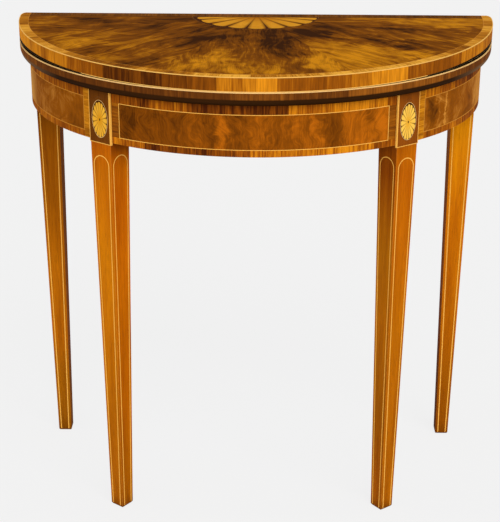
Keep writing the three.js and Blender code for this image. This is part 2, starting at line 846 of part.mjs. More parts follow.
// Rear leg: notched at the head so that the frieze passes outside it, with its front face
// upright and the other three faces tapered below the shoulder
function rearLeg(side) {
  const inner_taper = rear_leg_width - rear_leg_foot_width - rear_leg_outer_taper;
  const foot_depth = rear_leg_depth - (rear_leg_width - rear_leg_foot_width);
  const shares = [
    [0, 1, foot_chamfer],
    [foot_chamfer_height, 1, 0],
    [rear_shoulder, 0, 0],
  ];
  const sections = shares.map(([z, taper, inset]) => {
    const outer = rear_leg_outer - taper * rear_leg_outer_taper - inset;
    const inner = rear_leg_inner + taper * inner_taper + inset;
    const depth = rear_leg_depth + taper * (foot_depth - rear_leg_depth);
    return {
      z,
      x0: side > 0 ? inner : -outer,
      x1: side > 0 ? outer : -inner,
      y0: rear_leg_front + inset,
      y1: rear_leg_front + depth - inset,
    };
  });
  const head = sidedBox(
    side, rear_leg_inner, rear_leg_inner + rear_leg_head_width,
    rear_leg_front, rear_leg_back, rear_shoulder - overrun, gate_top,
  );
  return cut(join(loft(sections), head), gateTenon(side, seat));
}

for (const [hand, side] of hands) {
  place(`gate_rail_${hand}`, gateRail(side), beech, table);
  place(`rear_leg_${hand}`, rearLeg(side), satinwood, table);
  const pin = post(
    knuckle_pin_radius, side * gate_pivot, gate_axis_y, gate_bottom, gate_top, screw_steps,
  );
  place(`knuckle_pin_${hand}`, pin, iron, table);
}

export default table;
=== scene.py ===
# %% [markdown]
# # A half-round card table with inlaid veneer
#
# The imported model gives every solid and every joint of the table. This lesson dresses it: the
# camera and the light come first, then the woods, then the veneered boards, and last the inlay
# that a cabinet maker would let in by hand. Everything is in metres, X to the right, Y to the
# straight back edge and Z up.

# %% The frame
import json
import math

import bmesh
import bpy
import numpy as np
from mathutils import Matrix, Vector


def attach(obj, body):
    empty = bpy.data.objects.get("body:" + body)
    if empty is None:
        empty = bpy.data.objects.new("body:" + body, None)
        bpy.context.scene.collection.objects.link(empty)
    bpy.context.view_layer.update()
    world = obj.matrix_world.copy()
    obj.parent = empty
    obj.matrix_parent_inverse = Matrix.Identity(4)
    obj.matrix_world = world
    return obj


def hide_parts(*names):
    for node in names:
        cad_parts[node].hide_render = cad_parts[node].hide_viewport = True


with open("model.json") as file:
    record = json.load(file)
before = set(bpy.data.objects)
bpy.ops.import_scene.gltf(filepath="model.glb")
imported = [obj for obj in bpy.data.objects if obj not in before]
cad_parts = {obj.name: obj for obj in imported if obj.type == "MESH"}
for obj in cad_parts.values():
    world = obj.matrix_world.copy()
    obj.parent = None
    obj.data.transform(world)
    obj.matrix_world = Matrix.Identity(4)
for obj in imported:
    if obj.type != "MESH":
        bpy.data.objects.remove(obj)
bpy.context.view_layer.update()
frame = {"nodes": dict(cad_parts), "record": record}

# %% [markdown]
# ## Sizes that the inlay needs
#
# A card table like this is set out from one point: the middle of the sweep, 5 mm in front of
# the back edge. Curved parts are radii about it, so the inlay is given as radii, angles from
# the front and heights. The folded leaf leans forward a little, because its hinge side stands
# on the links, so its own surfaces are set out in a frame that is tilted with it.

# %% Sizes
BACK_Y = 0.200
SWEEP_Y = 0.195
BACK_EDGE = BACK_Y - SWEEP_Y
TOP_RADIUS = 0.395
LEAF = 0.022
FRIEZE_RADIUS = 0.3798
FRIEZE_BOTTOM, FRIEZE_TOP = 0.638, 0.718
LEG_TURN = math.radians(37.5)
LEG_FACE = 0.3825
PIN_Y, PIN_Z = 0.1935, 0.7512
PIN_INSET, PIN_DEPTH = 0.0065, 0.0032
PIN_SPACING, LEAF_GAP = 0.0144, 0.0003
PROUD = 0.00005
SHARP = math.radians(28)

closing_drop = PIN_SPACING - PIN_DEPTH - LEAF_GAP
reach = BACK_Y * 2 - PIN_INSET
LEAF_TILT = math.asin(closing_drop / math.hypot(reach, PIN_DEPTH)) - math.atan2(PIN_DEPTH, reach)
print(f"the folded leaf leans by {math.degrees(LEAF_TILT):.3f} degrees")

# %% [markdown]
# ## Camera
#
# The view was worked out from the outline of the table: a long lens at eye height, a little to
# the right of the middle, looking down by 21.8 degrees. Building the camera's matrix from its
# three turns keeps each of them readable.


# %% Camera
def in_scene(name, data):
    """A new object that shows the given data."""
    made = bpy.data.objects.new(name, data)
    bpy.context.scene.collection.objects.link(made)
    return made


SENSOR = 36.0
LENS_IN_PICTURE_WIDTHS = 1401.8 / 500
CAMERA_PLACE = (0.0155, -2.1532, 1.2612)
TURN, LOOK_DOWN, ROLL = 0.0099, 0.3802, 0.0049

camera = bpy.data.cameras.new("camera")
camera.sensor_fit = "HORIZONTAL"
camera.sensor_width = SENSOR
camera.lens = SENSOR * LENS_IN_PICTURE_WIDTHS
camera_object = in_scene("camera", camera)
view = Matrix.Rotation(TURN, 4, "Z") @ Matrix.Rotation(math.pi / 2 - LOOK_DOWN, 4, "X")
view = view @ Matrix.Rotation(ROLL, 4, "Z")
camera_object.matrix_world = Matrix.Translation(CAMERA_PLACE) @ view
bpy.context.scene.camera = camera_object
bpy.context.scene.view_settings.view_transform = "Standard"
print(f"camera lens {camera.lens:.1f} mm")

# %% [markdown]
# ## Node helpers
#
# Materials here are small graphs. One node tree at a time is being drawn, and every helper adds
# its nodes to that one. Sockets are passed straight on as arguments and colours are written as
# hex, so a graph reads like a formula.


# %% Node helpers
class Graph:
    """The material or world that is being drawn, and its node tree."""

    owner = tree = None


def start_graph(owner):
    """Empties the node tree of a material or a world, and draws in it from now on."""
    owner.use_nodes = True
    Graph.owner, Graph.tree = owner, owner.node_tree
    Graph.tree.nodes.clear()


def rgb(text):
    """A hex colour as it looks on screen, turned into the linear values that Blender mixes."""
    levels = [int(text[i:i + 2], 16) / 255 for i in (1, 3, 5)]
    return (*(v / 12.92 if v <= 0.04045 else ((v + 0.055) / 1.055) ** 2.4 for v in levels), 1.0)


def add_node(kind, inputs=None, **settings):
    """Adds one node; inputs maps a socket's name or number to a value, a hex colour or another
    socket."""
    node = Graph.tree.nodes.new(kind)
    for name, value in settings.items():
        setattr(node, name, value)
    for key, value in (inputs or {}).items():
        if isinstance(value, bpy.types.NodeSocket):
            Graph.tree.links.new(value, node.inputs[key])
        else:
            node.inputs[key].default_value = rgb(value) if isinstance(value, str) else value
    return node


def calc(operation, *values, clamp=False):
    """One arithmetic step on numbers or sockets."""
    inputs = dict(enumerate(values))
    return add_node("ShaderNodeMath", inputs, operation=operation, use_clamp=clamp).outputs[0]


def times(a, b):
    """a * b."""
    return calc("MULTIPLY", a, b)


def plus(a, b):
    """a + b."""
    return calc("ADD", a, b)


def minus(a, b, clamp=False):
    """a - b."""
    return calc("SUBTRACT", a, b, clamp=clamp)


def linear(value, gain, offset, clamp=False):
    """gain * value + offset."""
    return calc("MULTIPLY_ADD", value, gain, offset, clamp=clamp)


def spread(value, gain, about=0.5, clamp=False):
    """about + gain * (value - 0.5): noise made stronger, about another middle."""
    return linear(minus(value, 0.5), gain, about, clamp)


def vector_calc(operation, first, second, out=0):
    """One step of vector arithmetic."""
    inputs = {0: first, 1: second}
    return add_node("ShaderNodeVectorMath", inputs, operation=operation).outputs[out]


def blend(share, first, second, kind="MIX"):
    """Goes from the first colour to the second as share goes from 0 to 1."""
    inputs = {0: share, 6: first, 7: second}
    return add_node("ShaderNodeMix", inputs, data_type="RGBA", blend_type=kind).outputs[2]


def three_tones(tone, dark, middle, light):
    """Dark at 0, middle at 0.5 and light at 1."""
    low = blend(calc("MULTIPLY", tone, 2.0, clamp=True), dark, middle)
    return blend(linear(tone, 2.0, -1.0, clamp=True), low, light)


def ramp(value, stops, interpolation="LINEAR"):
    """A colour ramp; stops are (place, hex colour) pairs, and a plain number is a grey."""
    node = add_node("ShaderNodeValToRGB", {0: value})
    band = node.color_ramp
    band.interpolation = interpolation
    band.elements.remove(band.elements[1])
    band.elements[0].position = stops[0][0]
    for number, (place, colour) in enumerate(stops):
        element = band.elements.new(place) if number else band.elements[0]
        element.color = rgb(colour) if isinstance(colour, str) else (colour, colour, colour, 1)
    return node.outputs[0]


def remap(value, low, high, to_low=0.0, to_high=1.0):
    """Goes from to_low to to_high as value goes from low to high, and stays there outside."""
    inputs = {0: value, 1: low, 2: high, 3: to_low, 4: to_high}
    return add_node("ShaderNodeMapRange", inputs).outputs[0]


def step_up(value, edge, soft=0.0002):
    """0 below edge and 1 above it, with a soft change of the given width."""
    return remap(value, edge - soft / 2, edge + soft / 2)


def between(value, low, high, soft=0.0002):
    """1 between low and high, and 0 outside."""
    return minus(step_up(value, low, soft), step_up(value, high, soft))


def noise(vector, scale, detail=3.0, rough=0.55, warp=0.0, out=0):
    """Smooth noise from 0 to 1, about 0.5 in the middle."""
    inputs = {"Vector": vector, "Scale": scale, "Detail": detail, "Roughness": rough,
              "Distortion": warp}
    return add_node("ShaderNodeTexNoise", inputs).outputs[out]


def mapped(vector, **change):
    """Moves, turns or stretches a vector."""
    return add_node("ShaderNodeMapping", {"Vector": vector, **change}).outputs[0]


def stretch(vector, x, y, z):
    """Multiplies the three coordinates, so that noise runs out along the smallest of them."""
    return mapped(vector, Scale=(x, y, z))


def combine(x, y, z):
    """A vector of three numbers or sockets."""
    return add_node("ShaderNodeCombineXYZ", {0: x, 1: y, 2: z}).outputs[0]


def parts_of(vector):
    """The x, y and z of a vector."""
    return add_node("ShaderNodeSeparateXYZ", {0: vector}).outputs


print("node helpers ready")

# %% [markdown]
# ## Stage and light
#
# Studio furniture is shot on seamless pale paper with large soft lamps. Two broad suns and a
# dim dome light the wood evenly, so a colour renders about as it is written. The paper's flat
# brightness is only for rays that look at it: part of it is a plain glow, and the rest is lit,
# which keeps the table's soft shadow. Polished wood would mirror a white ceiling and look
# milky, so the paper ends a little above the table in a dark ceiling.


# %% Stage and light
PAPER, LIT_PAPER, GLOW = "#F0F0F0", "#DEDEDE", "#F5F5F5"
GLOW_SHARE = 0.90
FLOOR_SIDES, FLOOR_RADIUS, FLOOR_Z = 96, 9, -0.0002


def seen_directly():
    """1 for rays that look at the paper itself: from the camera, a mirror or through glass."""
    path = add_node("ShaderNodeLightPath").outputs
    mirrored = calc("MAXIMUM", path["Is Glossy Ray"], path["Is Transmission Ray"])
    return calc("MAXIMUM", path["Is Camera Ray"], mirrored)


def make_world():
    """Rays that see the studio find paper that ends in a dark ceiling; the others, which only
    carry light, find an even dome."""
    start_graph(bpy.data.worlds.new("studio"))
    bpy.context.scene.world = Graph.owner
    height = parts_of(add_node("ShaderNodeTexCoord").outputs["Generated"])[2]
    dome = ramp(height, [(0.0, 0.62), (0.3, 0.44), (1.0, 0.44)])
    studio = ramp(height, [(0.0, PAPER), (0.19, PAPER), (0.33, "#4A4A4A"), (1.0, "#6A6A6A")])
    seen = blend(seen_directly(), dome, studio)
    shader = add_node("ShaderNodeBackground", {"Color": seen, "Strength": 1.0})
    add_node("ShaderNodeOutputWorld", {0: shader.outputs[0]})


def make_floor():
    """A wide disc of paper under the feet, on which only a part of the light shows. From below
    it is clear, so that the underside of the table can be looked at."""
    angle = np.linspace(0, 2 * np.pi, FLOOR_SIDES, endpoint=False)
    rim = np.stack([FLOOR_RADIUS * np.cos(angle), FLOOR_RADIUS * np.sin(angle),
                    np.full(FLOOR_SIDES, FLOOR_Z)], axis=1)
    mesh = bpy.data.meshes.new("paper")
    mesh.from_pydata(rim.tolist(), [], [list(range(FLOOR_SIDES))])
    floor = in_scene("paper", mesh)
    start_graph(bpy.data.materials.new("paper"))
    lit = add_node("ShaderNodeBsdfDiffuse", {"Color": LIT_PAPER}).outputs[0]
    glow = add_node("ShaderNodeEmission", {"Color": GLOW, "Strength": 1.0}).outputs[0]
    share = times(seen_directly(), GLOW_SHARE)
    both = add_node("ShaderNodeMixShader", {0: share, 1: lit, 2: glow}).outputs[0]
    clear = add_node("ShaderNodeBsdfTransparent").outputs[0]
    behind = add_node("ShaderNodeNewGeometry").outputs["Backfacing"]
    paper = add_node("ShaderNodeMixShader", {0: behind, 1: both, 2: clear}).outputs[0]
    add_node("ShaderNodeOutputMaterial", {0: paper})
    mesh.materials.append(Graph.owner)


def make_sun(name, strength, softness, towards):
    """A sun that shines along the direction towards; softness is its width in degrees."""
    sun = bpy.data.lights.new(name, "SUN")
    sun.energy = strength
    sun.angle = math.radians(softness)
    in_scene(name, sun).rotation_euler = Vector(towards).to_track_quat("-Z", "Y").to_euler()


make_world()
make_floor()
make_sun("key", 1.9, 50, (-0.45, 1.0, -0.85))
make_sun("fill", 0.7, 70, (0.8, 1.0, -0.5))
print("stage and lights ready")

# %% [markdown]
# ## Mesh helpers
#
# Inlay is thin: square strings, flat petals and plates. Each one is a grid of points worked out
# as whole arrays, closed by walls, so a shape is a formula and never a stack of primitives. A
# shape is passed on as its points and its faces.


# %% Grids and plates
def grid_faces(rows, columns, wrap_columns=False):
    """Quads between neighbours: point (r, c) has number r * columns + c."""
    last = columns if wrap_columns else columns - 1
    r, c = np.meshgrid(np.arange(rows - 1), np.arange(last), indexing="ij")
    near, after = r * columns, (c + 1) % columns
    corners = [near + c, near + after, near + columns + after, near + columns + c]
    return np.stack(corners, axis=-1).reshape(-1, 4)


def outward(points, faces):
    """Turns all faces over when the volume, the sum of p0 . (p1 x p2) over triangles, is
    negative."""
    volume = 0.0
    for second in (1, 2):
        a, b, c = (points[faces[:, k]] for k in (0, second, second + 1))
        volume += np.einsum("ij,ij->i", a, np.cross(b, c)).sum()
    return faces if volume > 0 else faces[:, ::-1]


def slab(grid, back):
    """A closed plate: the grid, the same grid moved by the vector back, and walls between their
    rims."""
    rows, columns = grid.shape[:2]
    top = grid.reshape(-1, 3)
    count = rows * columns
    number = np.arange(count).reshape(rows, columns)
    rim = np.concatenate([number[0, :-1], number[:-1, -1], number[-1, :0:-1], number[:0:-1, 0]])
    after = np.roll(rim, -1)
    face = grid_faces(rows, columns)
    walls = np.stack([rim, rim + count, after + count, after], axis=1)
    points = np.concatenate([top, top + np.asarray(back)])
    return points, outward(points, np.concatenate([face, face[:, ::-1] + count, walls]))


def strip(path, normals, left, right, deep, closed=False):
    """A four-sided strip along a path. Its corners are path + side * (-left or right) + normal *
    (PROUD or -deep), where side is tangent x normal, lengthened at a bend so that it is mitred.
    A single normal serves the whole path."""
    path = np.asarray(path, float)
    normals = np.broadcast_to(np.asarray(normals, float), path.shape)
    ahead = np.roll(path, -1, axis=0) - path
    if not closed:
        ahead[-1] = ahead[-2]
    ahead /= np.linalg.norm(ahead, axis=1, keepdims=True)
    behind = np.roll(ahead, 1, axis=0)
    if not closed:
        behind[0] = ahead[0]
    side_out, side_in = np.cross(ahead, normals), np.cross(behind, normals)
    side = side_out + side_in
    side /= np.linalg.norm(side, axis=1, keepdims=True)
    side /= np.maximum(np.einsum("ij,ij->i", side, side_out), 0.3)[:, None]
    corners = [(-left, PROUD), (right, PROUD), (right, -deep), (-left, -deep)]
    rings = np.stack([path + side * a + normals * b for a, b in corners], axis=1)
    if closed:
        rings = np.concatenate([rings, rings[:1]])
    faces = grid_faces(len(rings), 4, wrap_columns=True)
    points = rings.reshape(-1, 3)
    if closed:
        faces = faces % (len(points) - 4)
        points = points[:-4]
    else:
        last = len(points)
        faces = np.concatenate([faces, [[3, 2, 1, 0], [last - 4, last - 3, last - 2, last - 1]]])
    return points, outward(points, faces)


def string(path, normals, width, deep, closed=False):
    """A strip whose path is its middle line."""
    return strip(path, normals, width / 2, width / 2, deep, closed)


def joined(shapes):
    """Several closed shapes as one set of points and faces."""
    starts = np.cumsum([0] + [len(points) for points, _ in shapes[:-1]])
    points = np.concatenate([points for points, _ in shapes])
    return points, np.concatenate([faces + start for (_, faces), start in zip(shapes, starts)])


print("mesh helpers ready")

# %% [markdown]
# ## Frames of the parts
#
# Inlay is set out in the frame of the part that it is let into, and then moved to the table.
# The leaf's frame starts at the middle of its sweep, on its underside. A front leg's frame is
# the table's, turned about the sweep until the leg's outward face looks along -Y. The two back
# corners of each leaf are rounded, so their outline is worked out here too.

# %% Frames and the outline of the leaves
CORNER_WIDTH = 0.007
CORNER_FROM = math.radians(2)


def moved(shape, axis, angle, shift):
    """Turns a shape about an axis through the origin, then moves it."""
    points, faces = shape
    turn = np.array(Matrix.Rotation(angle, 3, axis))
    return points @ turn.T + np.array(shift), faces


def on_folded_leaf(shape):
    """From the folding leaf's own frame to the table: turned about the pins, then moved."""
    points, faces = shape
    about_pins = points + np.array([0, PIN_INSET - BACK_EDGE, -PIN_DEPTH])
    return moved((about_pins, faces), "X", LEAF_TILT, (0, PIN_Y, PIN_Z))


def on_fixed_leaf(shape):
    """From the fixed leaf's own frame to the table."""
    return shape[0] + np.array([0, SWEEP_Y, FRIEZE_TOP]), shape[1]


def on_leg(shape, side):
    """From a front leg's frame to the table; side is -1 on the left and 1 on the right."""
    return moved(shape, "Z", side * LEG_TURN, (0, SWEEP_Y, 0))


def sweep_points(radius, angle):
    """x = radius sin a, y = -radius cos a."""
    return np.stack([radius * np.sin(angle), -radius * np.cos(angle)], axis=1)


def quarter_oval(radius):
    """The right-hand back corner: x = x0 - w (1 - cos t), y = y0 + (back - y0) sin t."""
    x, y = radius * math.cos(CORNER_FROM), -radius * math.sin(CORNER_FROM)
    turn = np.radians(np.arange(0, 91, 15))
    return np.stack([x - CORNER_WIDTH * (1 - np.cos(turn)), y + (BACK_EDGE - y) * np.sin(turn)],
                    axis=1)


def corner_planes(to_table):
    """Upright planes along the chords of both corners, as (point, outward normal)."""
    corner = quarter_oval(TOP_RADIUS)
    chord = np.diff(corner, axis=0)
    normal = np.stack([chord[:, 1], -chord[:, 0]], axis=1)
    planes = []
    for side in (1, -1):
        feet = np.column_stack([corner[:-1] * (side, 1), np.zeros(len(chord))])
        tips = feet + np.column_stack([normal * (side, 1), np.zeros(len(chord))])
        start, end = to_table((feet, None))[0], to_table((tips, None))[0]
        planes += [(Vector(a), Vector(b - a).normalized()) for a, b in zip(start, end)]
    return planes


print(len(corner_planes(on_fixed_leaf)), "planes round the two corners of a leaf")

# %% [markdown]
# ## Pieces
#
# A piece needs a mesh, a finish, a body to ride on and, where it stands for a CAD solid, that
# solid's name. One function does all four, so no piece can miss one of them.


# %% Pieces
def finished(name, mesh, material, body, stands_for):
    """Gives a mesh its finish, makes it a piece and ties it to the body that carries it."""
    mesh.polygons.foreach_set("use_smooth", np.ones(len(mesh.polygons), bool))
    mesh.set_sharp_from_angle(angle=SHARP)
    mesh.materials.clear()
    mesh.materials.append(material)
    piece = in_scene(name, mesh)
    if stands_for:
        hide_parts(*stands_for)
    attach(piece, body)
    return piece


def new_piece(name, shape, material, body="table_frame", stands_for=(),
              uv=None):
    """A piece made of points and faces; uv holds one place in the veneer for each point."""
    points, faces = shape
    mesh = bpy.data.meshes.new(name)
    mesh.from_pydata(points.tolist(), [], faces.tolist())
    if uv is not None:
        corner = np.zeros(len(mesh.loops), np.int32)
        mesh.loops.foreach_get("vertex_index", corner)
        layer = mesh.uv_layers.new(name="UVMap")
        layer.data.foreach_set("uv", uv[corner].astype(np.float32).ravel())
    return finished(name, mesh, material, body, stands_for)


def dressed(node, material, body, arris=0.0007, planes=()):
    """A finished copy of a CAD solid: its triangles are joined, what lies outside the planes is
    planed off, flat faces are made whole, and sharp arrises are rounded by the width arris."""
    mesh = frame["nodes"][node].data.copy()
    mesh.name = node + ".finished"
    shell = bmesh.new()
    shell.from_mesh(mesh)
    bmesh.ops.remove_doubles(shell, verts=shell.verts, dist=2e-6)
    for point, normal in planes:
        everything = shell.verts[:] + shell.edges[:] + shell.faces[:]
        cut = bmesh.ops.bisect_plane(shell, geom=everything, dist=1e-7, plane_co=point,
                                     plane_no=normal, clear_outer=True)["geom_cut"]
        open_edges = [edge for edge in cut if isinstance(edge, bmesh.types.BMEdge)]
        bmesh.ops.edgeloop_fill(shell, edges=open_edges)
    bmesh.ops.dissolve_limit(shell, angle_limit=math.radians(0.4), verts=shell.verts,
                             edges=shell.edges)
    shell.to_mesh(mesh)
    shell.free()
    piece = finished(node + ".finished", mesh, material, body, [node])
    bevel = piece.modifiers.new("arris", "BEVEL")
    bevel.width = arris
    bevel.segments = 2
    bevel.limit_method = "ANGLE"
    bevel.angle_limit = SHARP
    bevel.harden_normals = True


body_of_node = {
    node: body for body, nodes in frame["record"]["behaviour"]["bodies"].items() for node in nodes
}
slot_of_node = {part["node"]: part["material_slot"] for part in frame["record"]["subparts"]}
print(len(body_of_node), "nodes know their bodies")

# %% [markdown]
# ## Wood as node groups
#
# Effects that come back in many finishes are node groups. Each is written as a function: its
# arguments are the group's inputs, and what it returns goes to the outputs. Calling it later
# places the group in the material that is being drawn.

# %% Group builder
KIND_OF_SOCKET = {"vector": "NodeSocketVector", "color": "NodeSocketColor",
                  "light": "NodeSocketColor", "middle": "NodeSocketColor",
                  "dark": "NodeSocketColor", "worn": "NodeSocketColor"}


def node_group(inputs, outputs):
    """Makes a function into a shader node group with the named inputs and outputs."""
    def build(function):
        tree = bpy.data.node_groups.new(function.__name__, "ShaderNodeTree")
        for in_out, names in (("INPUT", inputs.split()), ("OUTPUT", outputs.split())):
            for name in names:
                kind = KIND_OF_SOCKET.get(name, "NodeSocketFloat")
                tree.interface.new_socket(name, in_out=in_out, socket_type=kind)
        Graph.tree = tree
        given = tree.nodes.new("NodeGroupInput").outputs
        wanted = tree.nodes.new("NodeGroupOutput").inputs
        made = function(*(given[name] for name in inputs.split()))
        for name, socket in zip(outputs.split(), made):
            tree.links.new(socket, wanted[name])

        def place_group(*values):
            values = dict(zip(inputs.split(), values))
            return add_node("ShaderNodeGroup", values, node_tree=tree).outputs
        return place_group
    return build


print("group builder ready")

# %% [markdown]
# ## Places about the sweep
#
# The polar group turns a place into angle, radius and height about the sweep, which is how the
# maker laid the veneers. Its fourth output is how far back the place is.


# %% Polar group
@node_group("vector", "angle radius height back")
def polar(vector):
    """angle = atan2(x, -y), radius = sqrt(x x + y y)."""
    x, y, z = parts_of(vector)
    square = plus(times(x, x), times(y, y))
    return calc("ARCTAN2", x, times(y, -1.0)), calc("SQRT", square), z, y


print("polar group ready")

# %% [markdown]
# ## Straight grain
#
# The grain group draws long fibres and pores along Z. A vector that is turned first makes them
# run along another axis.

# %% Grain group
PORE_COLOUR = (0.02, 0.008, 0.002, 1)


@node_group("vector light dark scale contrast pores", "color height")
def grain(vector, light, dark, scale, contrast, pores):
    """Fibres along Z: noise that is stretched 4 to 40 times, from broad streaks to fine lines,
    mixed into one tone; pores are the thin valleys of a finer noise."""
    streak = noise(stretch(vector, 1, 1, 0.06), scale, 4, 0.6, 0.35)
    broad = noise(stretch(vector, 1, 1, 0.22), 9, 2, 0.5, 0.6)
    lines = noise(stretch(vector, 1, 1, 0.025), 520, 2, 0.6)
    tone = linear(lines, 0.20, linear(broad, 0.34, times(streak, 0.46)))
    tone = spread(tone, contrast, clamp=True)
    fine = noise(stretch(vector, 1, 1, 0.035), 1500, 1, 0.5)
    pore = times(minus(1.0, step_up(fine, 0.36, 0.12)), pores)
    colour = blend(times(pore, 0.55), blend(tone, dark, light), PORE_COLOUR)
    return colour, minus(times(tone, 0.3), pore)


print("grain group ready")

# %% [markdown]
# ## Crossbanding
#
# Edges and borders are laid with short pieces of veneer whose fibres run across the band. The
# group draws the fibres; two functions give each piece its own tone, either from a list of the
# pieces seen or by chance.


# %% Crossband group
@node_group("along across tone lift light middle dark", "color height")
def crossband(along, across, tone, lift, light, middle, dark):
    """Tone is the block's own tone; fine dark lines and a slower drift, both long across the
    band, are added to it. Lift raises the contrast."""
    place = combine(along, linear(tone, 3.7, across), tone)
    lines = noise(stretch(place, 1, 0.05, 1), 480, 2, 0.6)
    streak = noise(stretch(place, 1, 0.06, 1), 210, 3, 0.65)
    slow = noise(stretch(place, 1, 0.4, 1), 26, 2, 0.5, 0.4)
    total = spread(slow, 0.9, spread(streak, 1.5, times(minus(lines, 0.5), 1.1)))
    shade = linear(total, lift, tone, clamp=True)
    return three_tones(shade, dark, middle, light), linear(lines, 0.5, streak)


def blocks_by_angle(angle, blocks):
    """Tones of blocks of veneer; each is (degrees at which it starts, tone), from -90 to 90."""
    share = remap(angle, -math.pi / 2, math.pi / 2)
    return ramp(share, [((start + 90) / 180, tone) for start, tone in blocks], "CONSTANT")


def blocks_by_chance(along, length, seed, low, high):
    """Tones of blocks that are about equally long: a one-dimensional cell pattern."""
    place = linear(along, 1 / length, seed)
    cells = add_node("ShaderNodeTexVoronoi", {"W": place, "Scale": 1.0},
                     voronoi_dimensions="1D", feature="F1")
    chance = add_node("ShaderNodeSeparateColor", {0: cells.outputs["Color"]}).outputs[0]
    return linear(chance, high - low, low)


print("crossband group ready")

# %% [markdown]
# ## Figured mahogany
#
# Veneer from a fork of the tree shows feathers like a flame. It is cloudy too, so soft oval
# patches are laid where the table is darker or more golden.


# %% Flame and cloud groups
@node_group("vector scale contrast feather shift light middle dark", "color height")
def flame(vector, scale, contrast, feather, shift, light, middle, dark):
    """X runs across the leaf of veneer and Y along it. Feathers are noise along y - 0.9 |x|, and
    streaks, fine streaks and fibres are noise that is longer and longer along Y. Their sum is
    spread by contrast about shift."""
    bend = noise(vector, times(scale, 0.6), 2, 0.5, 0.0, 1)
    bend = vector_calc("SUBTRACT", bend, (0.5, 0.5, 0.5))
    bent = vector_calc("ADD", vector, vector_calc("MULTIPLY", bend, (0.08, 0.08, 0.0)))
    x, y, z = parts_of(bent)
    forked = combine(x, linear(calc("ABSOLUTE", x), -0.9, y), z)
    feathers = noise(forked, times(scale, 3.2), 5, 0.66, 0.6)
    streaks = noise(stretch(bent, 1, 0.16, 1), times(scale, 5.0), 5, 0.66, 0.5)
    fine = noise(stretch(bent, 1, 0.07, 1), times(scale, 19.0), 3, 0.6, 0.3)
    drift = noise(stretch(bent, 1, 0.5, 1), times(scale, 1.1), 3, 0.55, 0.9)
    fibre = noise(stretch(vector, 1, 0.04, 1), 700, 2, 0.6)
    tone = times(minus(feathers, 0.5), feather)
    for part, weight in ((streaks, 0.27), (drift, 0.28), (fine, 0.19), (fibre, 0.10)):
        tone = spread(part, weight, tone)
    tone = linear(tone, contrast, shift, clamp=True)
    return three_tones(tone, dark, middle, light), times(fibre, 0.4)


@node_group("u v middle_u middle_v half_u half_v amount", "value")
def cloud(u, v, middle_u, middle_v, half_u, half_v, amount):
    """A soft oval patch: amount (1 - d)^2 where d = a^2 + b^2 is below 1, and 0 outside; a and b
    are the distances from its middle as shares of its half sizes."""
    a, b = calc("DIVIDE", minus(u, middle_u), half_u), calc("DIVIDE", minus(v, middle_v), half_v)
    near = minus(1.0, plus(times(a, a), times(b, b)), clamp=True)
    return [times(times(near, near), amount)]


def clouds(angle, other, patches):
    """The sum of soft patches; each is (degrees, place, half width in degrees, half size,
    amount)."""
    total = 0.0
    for degrees, middle, half_degrees, half, amount in patches:
        middle_u, half_u = math.radians(degrees), math.radians(half_degrees)
        total = plus(cloud(angle, other, middle_u, middle, half_u, half, amount)[0], total)
    return total


print("flame and cloud groups ready")

# %% [markdown]
# ## Wear and polish
#
# Hands rub the arrises pale over the years, and a surface polished by hand is never quite even.


# %% Wear and polish groups
@node_group("vector color worn amount", "color mask")
def wear(vector, color, worn, amount):
    """Near an arris the rounded normal of a Bevel node turns away from the surface's own normal,
    so 1 - n . n' grows there. Noise breaks the worn line into rubbed places."""
    rounded = add_node("ShaderNodeBevel", {"Radius": 0.0013}, samples=4).outputs[0]
    own = add_node("ShaderNodeNewGeometry").outputs["Normal"]
    same = vector_calc("DOT_PRODUCT", rounded, own, "Value")
    edge = remap(minus(1.0, same), 0.015, 0.20)
    rubbed = spread(noise(vector, 55, 4, 0.65), 3.0, 0.55, clamp=True)
    mask = times(times(edge, rubbed), amount)
    return blend(mask, color, worn), mask


@node_group("vector rough height", "rough height")
def polish(vector, rough, height):
    """French polish: roughness drifts slowly, and the surface has a faint ripple."""
    drift, ripple = noise(vector, 14, 3, 0.6), noise(vector, 160, 2, 0.5)
    return spread(drift, 0.16, rough), linear(ripple, 0.25, height)


print("wear and polish groups ready")

# %% [markdown]
# ## Finishes
#
# Each finish ends in one Principled shader. Its colour comes from the groups above; plain
# numbers such as the coat are set on the shader itself.


# %% Shader for polished wood
def start_material(name):
    """Draws in a new material from now on, and returns where a point is on the resting table."""
    start_graph(bpy.data.materials.new(name))
    return add_node("ShaderNodeTexCoord").outputs["Object"]


def finish_material(inputs, height, depth=0.00004, strength=0.6):
    """Ends the material in a Principled shader, with the height as a bump on its surface."""
    bump = add_node("ShaderNodeBump", {"Height": height, "Distance": depth, "Strength": strength})
    shader = add_node("ShaderNodeBsdfPrincipled", {**inputs, "Normal": bump.outputs[0]})
    add_node("ShaderNodeOutputMaterial", {0: shader.outputs[0]})
    return Graph.owner


def polished(place, colour, height, rough=0.36, worn="#D9A868", amount=0.45, coat=0.035):
    """Ends a polished wood: its arrises are rubbed pale, and only the thin coat of wax shines."""
    colour, mask = wear(place, colour, worn, amount)
    rough, height = polish(place, rough, height)
    return finish_material({"Base Color": colour, "Roughness": linear(mask, 0.15, rough),
                            "Coat Weight": coat, "Coat Roughness": 0.22,
                            "Specular IOR Level": 0.0}, height)


print("shader helpers ready")

# %% [markdown]
# ## Straight-grained woods
#
# Boxwood makes the light strings; it is hard, pale and nearly without pores. Beech and pine are
# the plain woods inside. The boxwood under old varnish is the one that has gone brown.

# %% Straight-grained woods
ALONG_X, ALONG_Y = (0, math.pi / 2, 0), (math.pi / 2, 0, 0)


def fibres(vector, light, dark, scale=90.0, contrast=2.6, pores=0.5):
    """The grain group with the usual mahogany's scale, contrast and pores."""
    return grain(vector, light, dark, scale, contrast, pores)


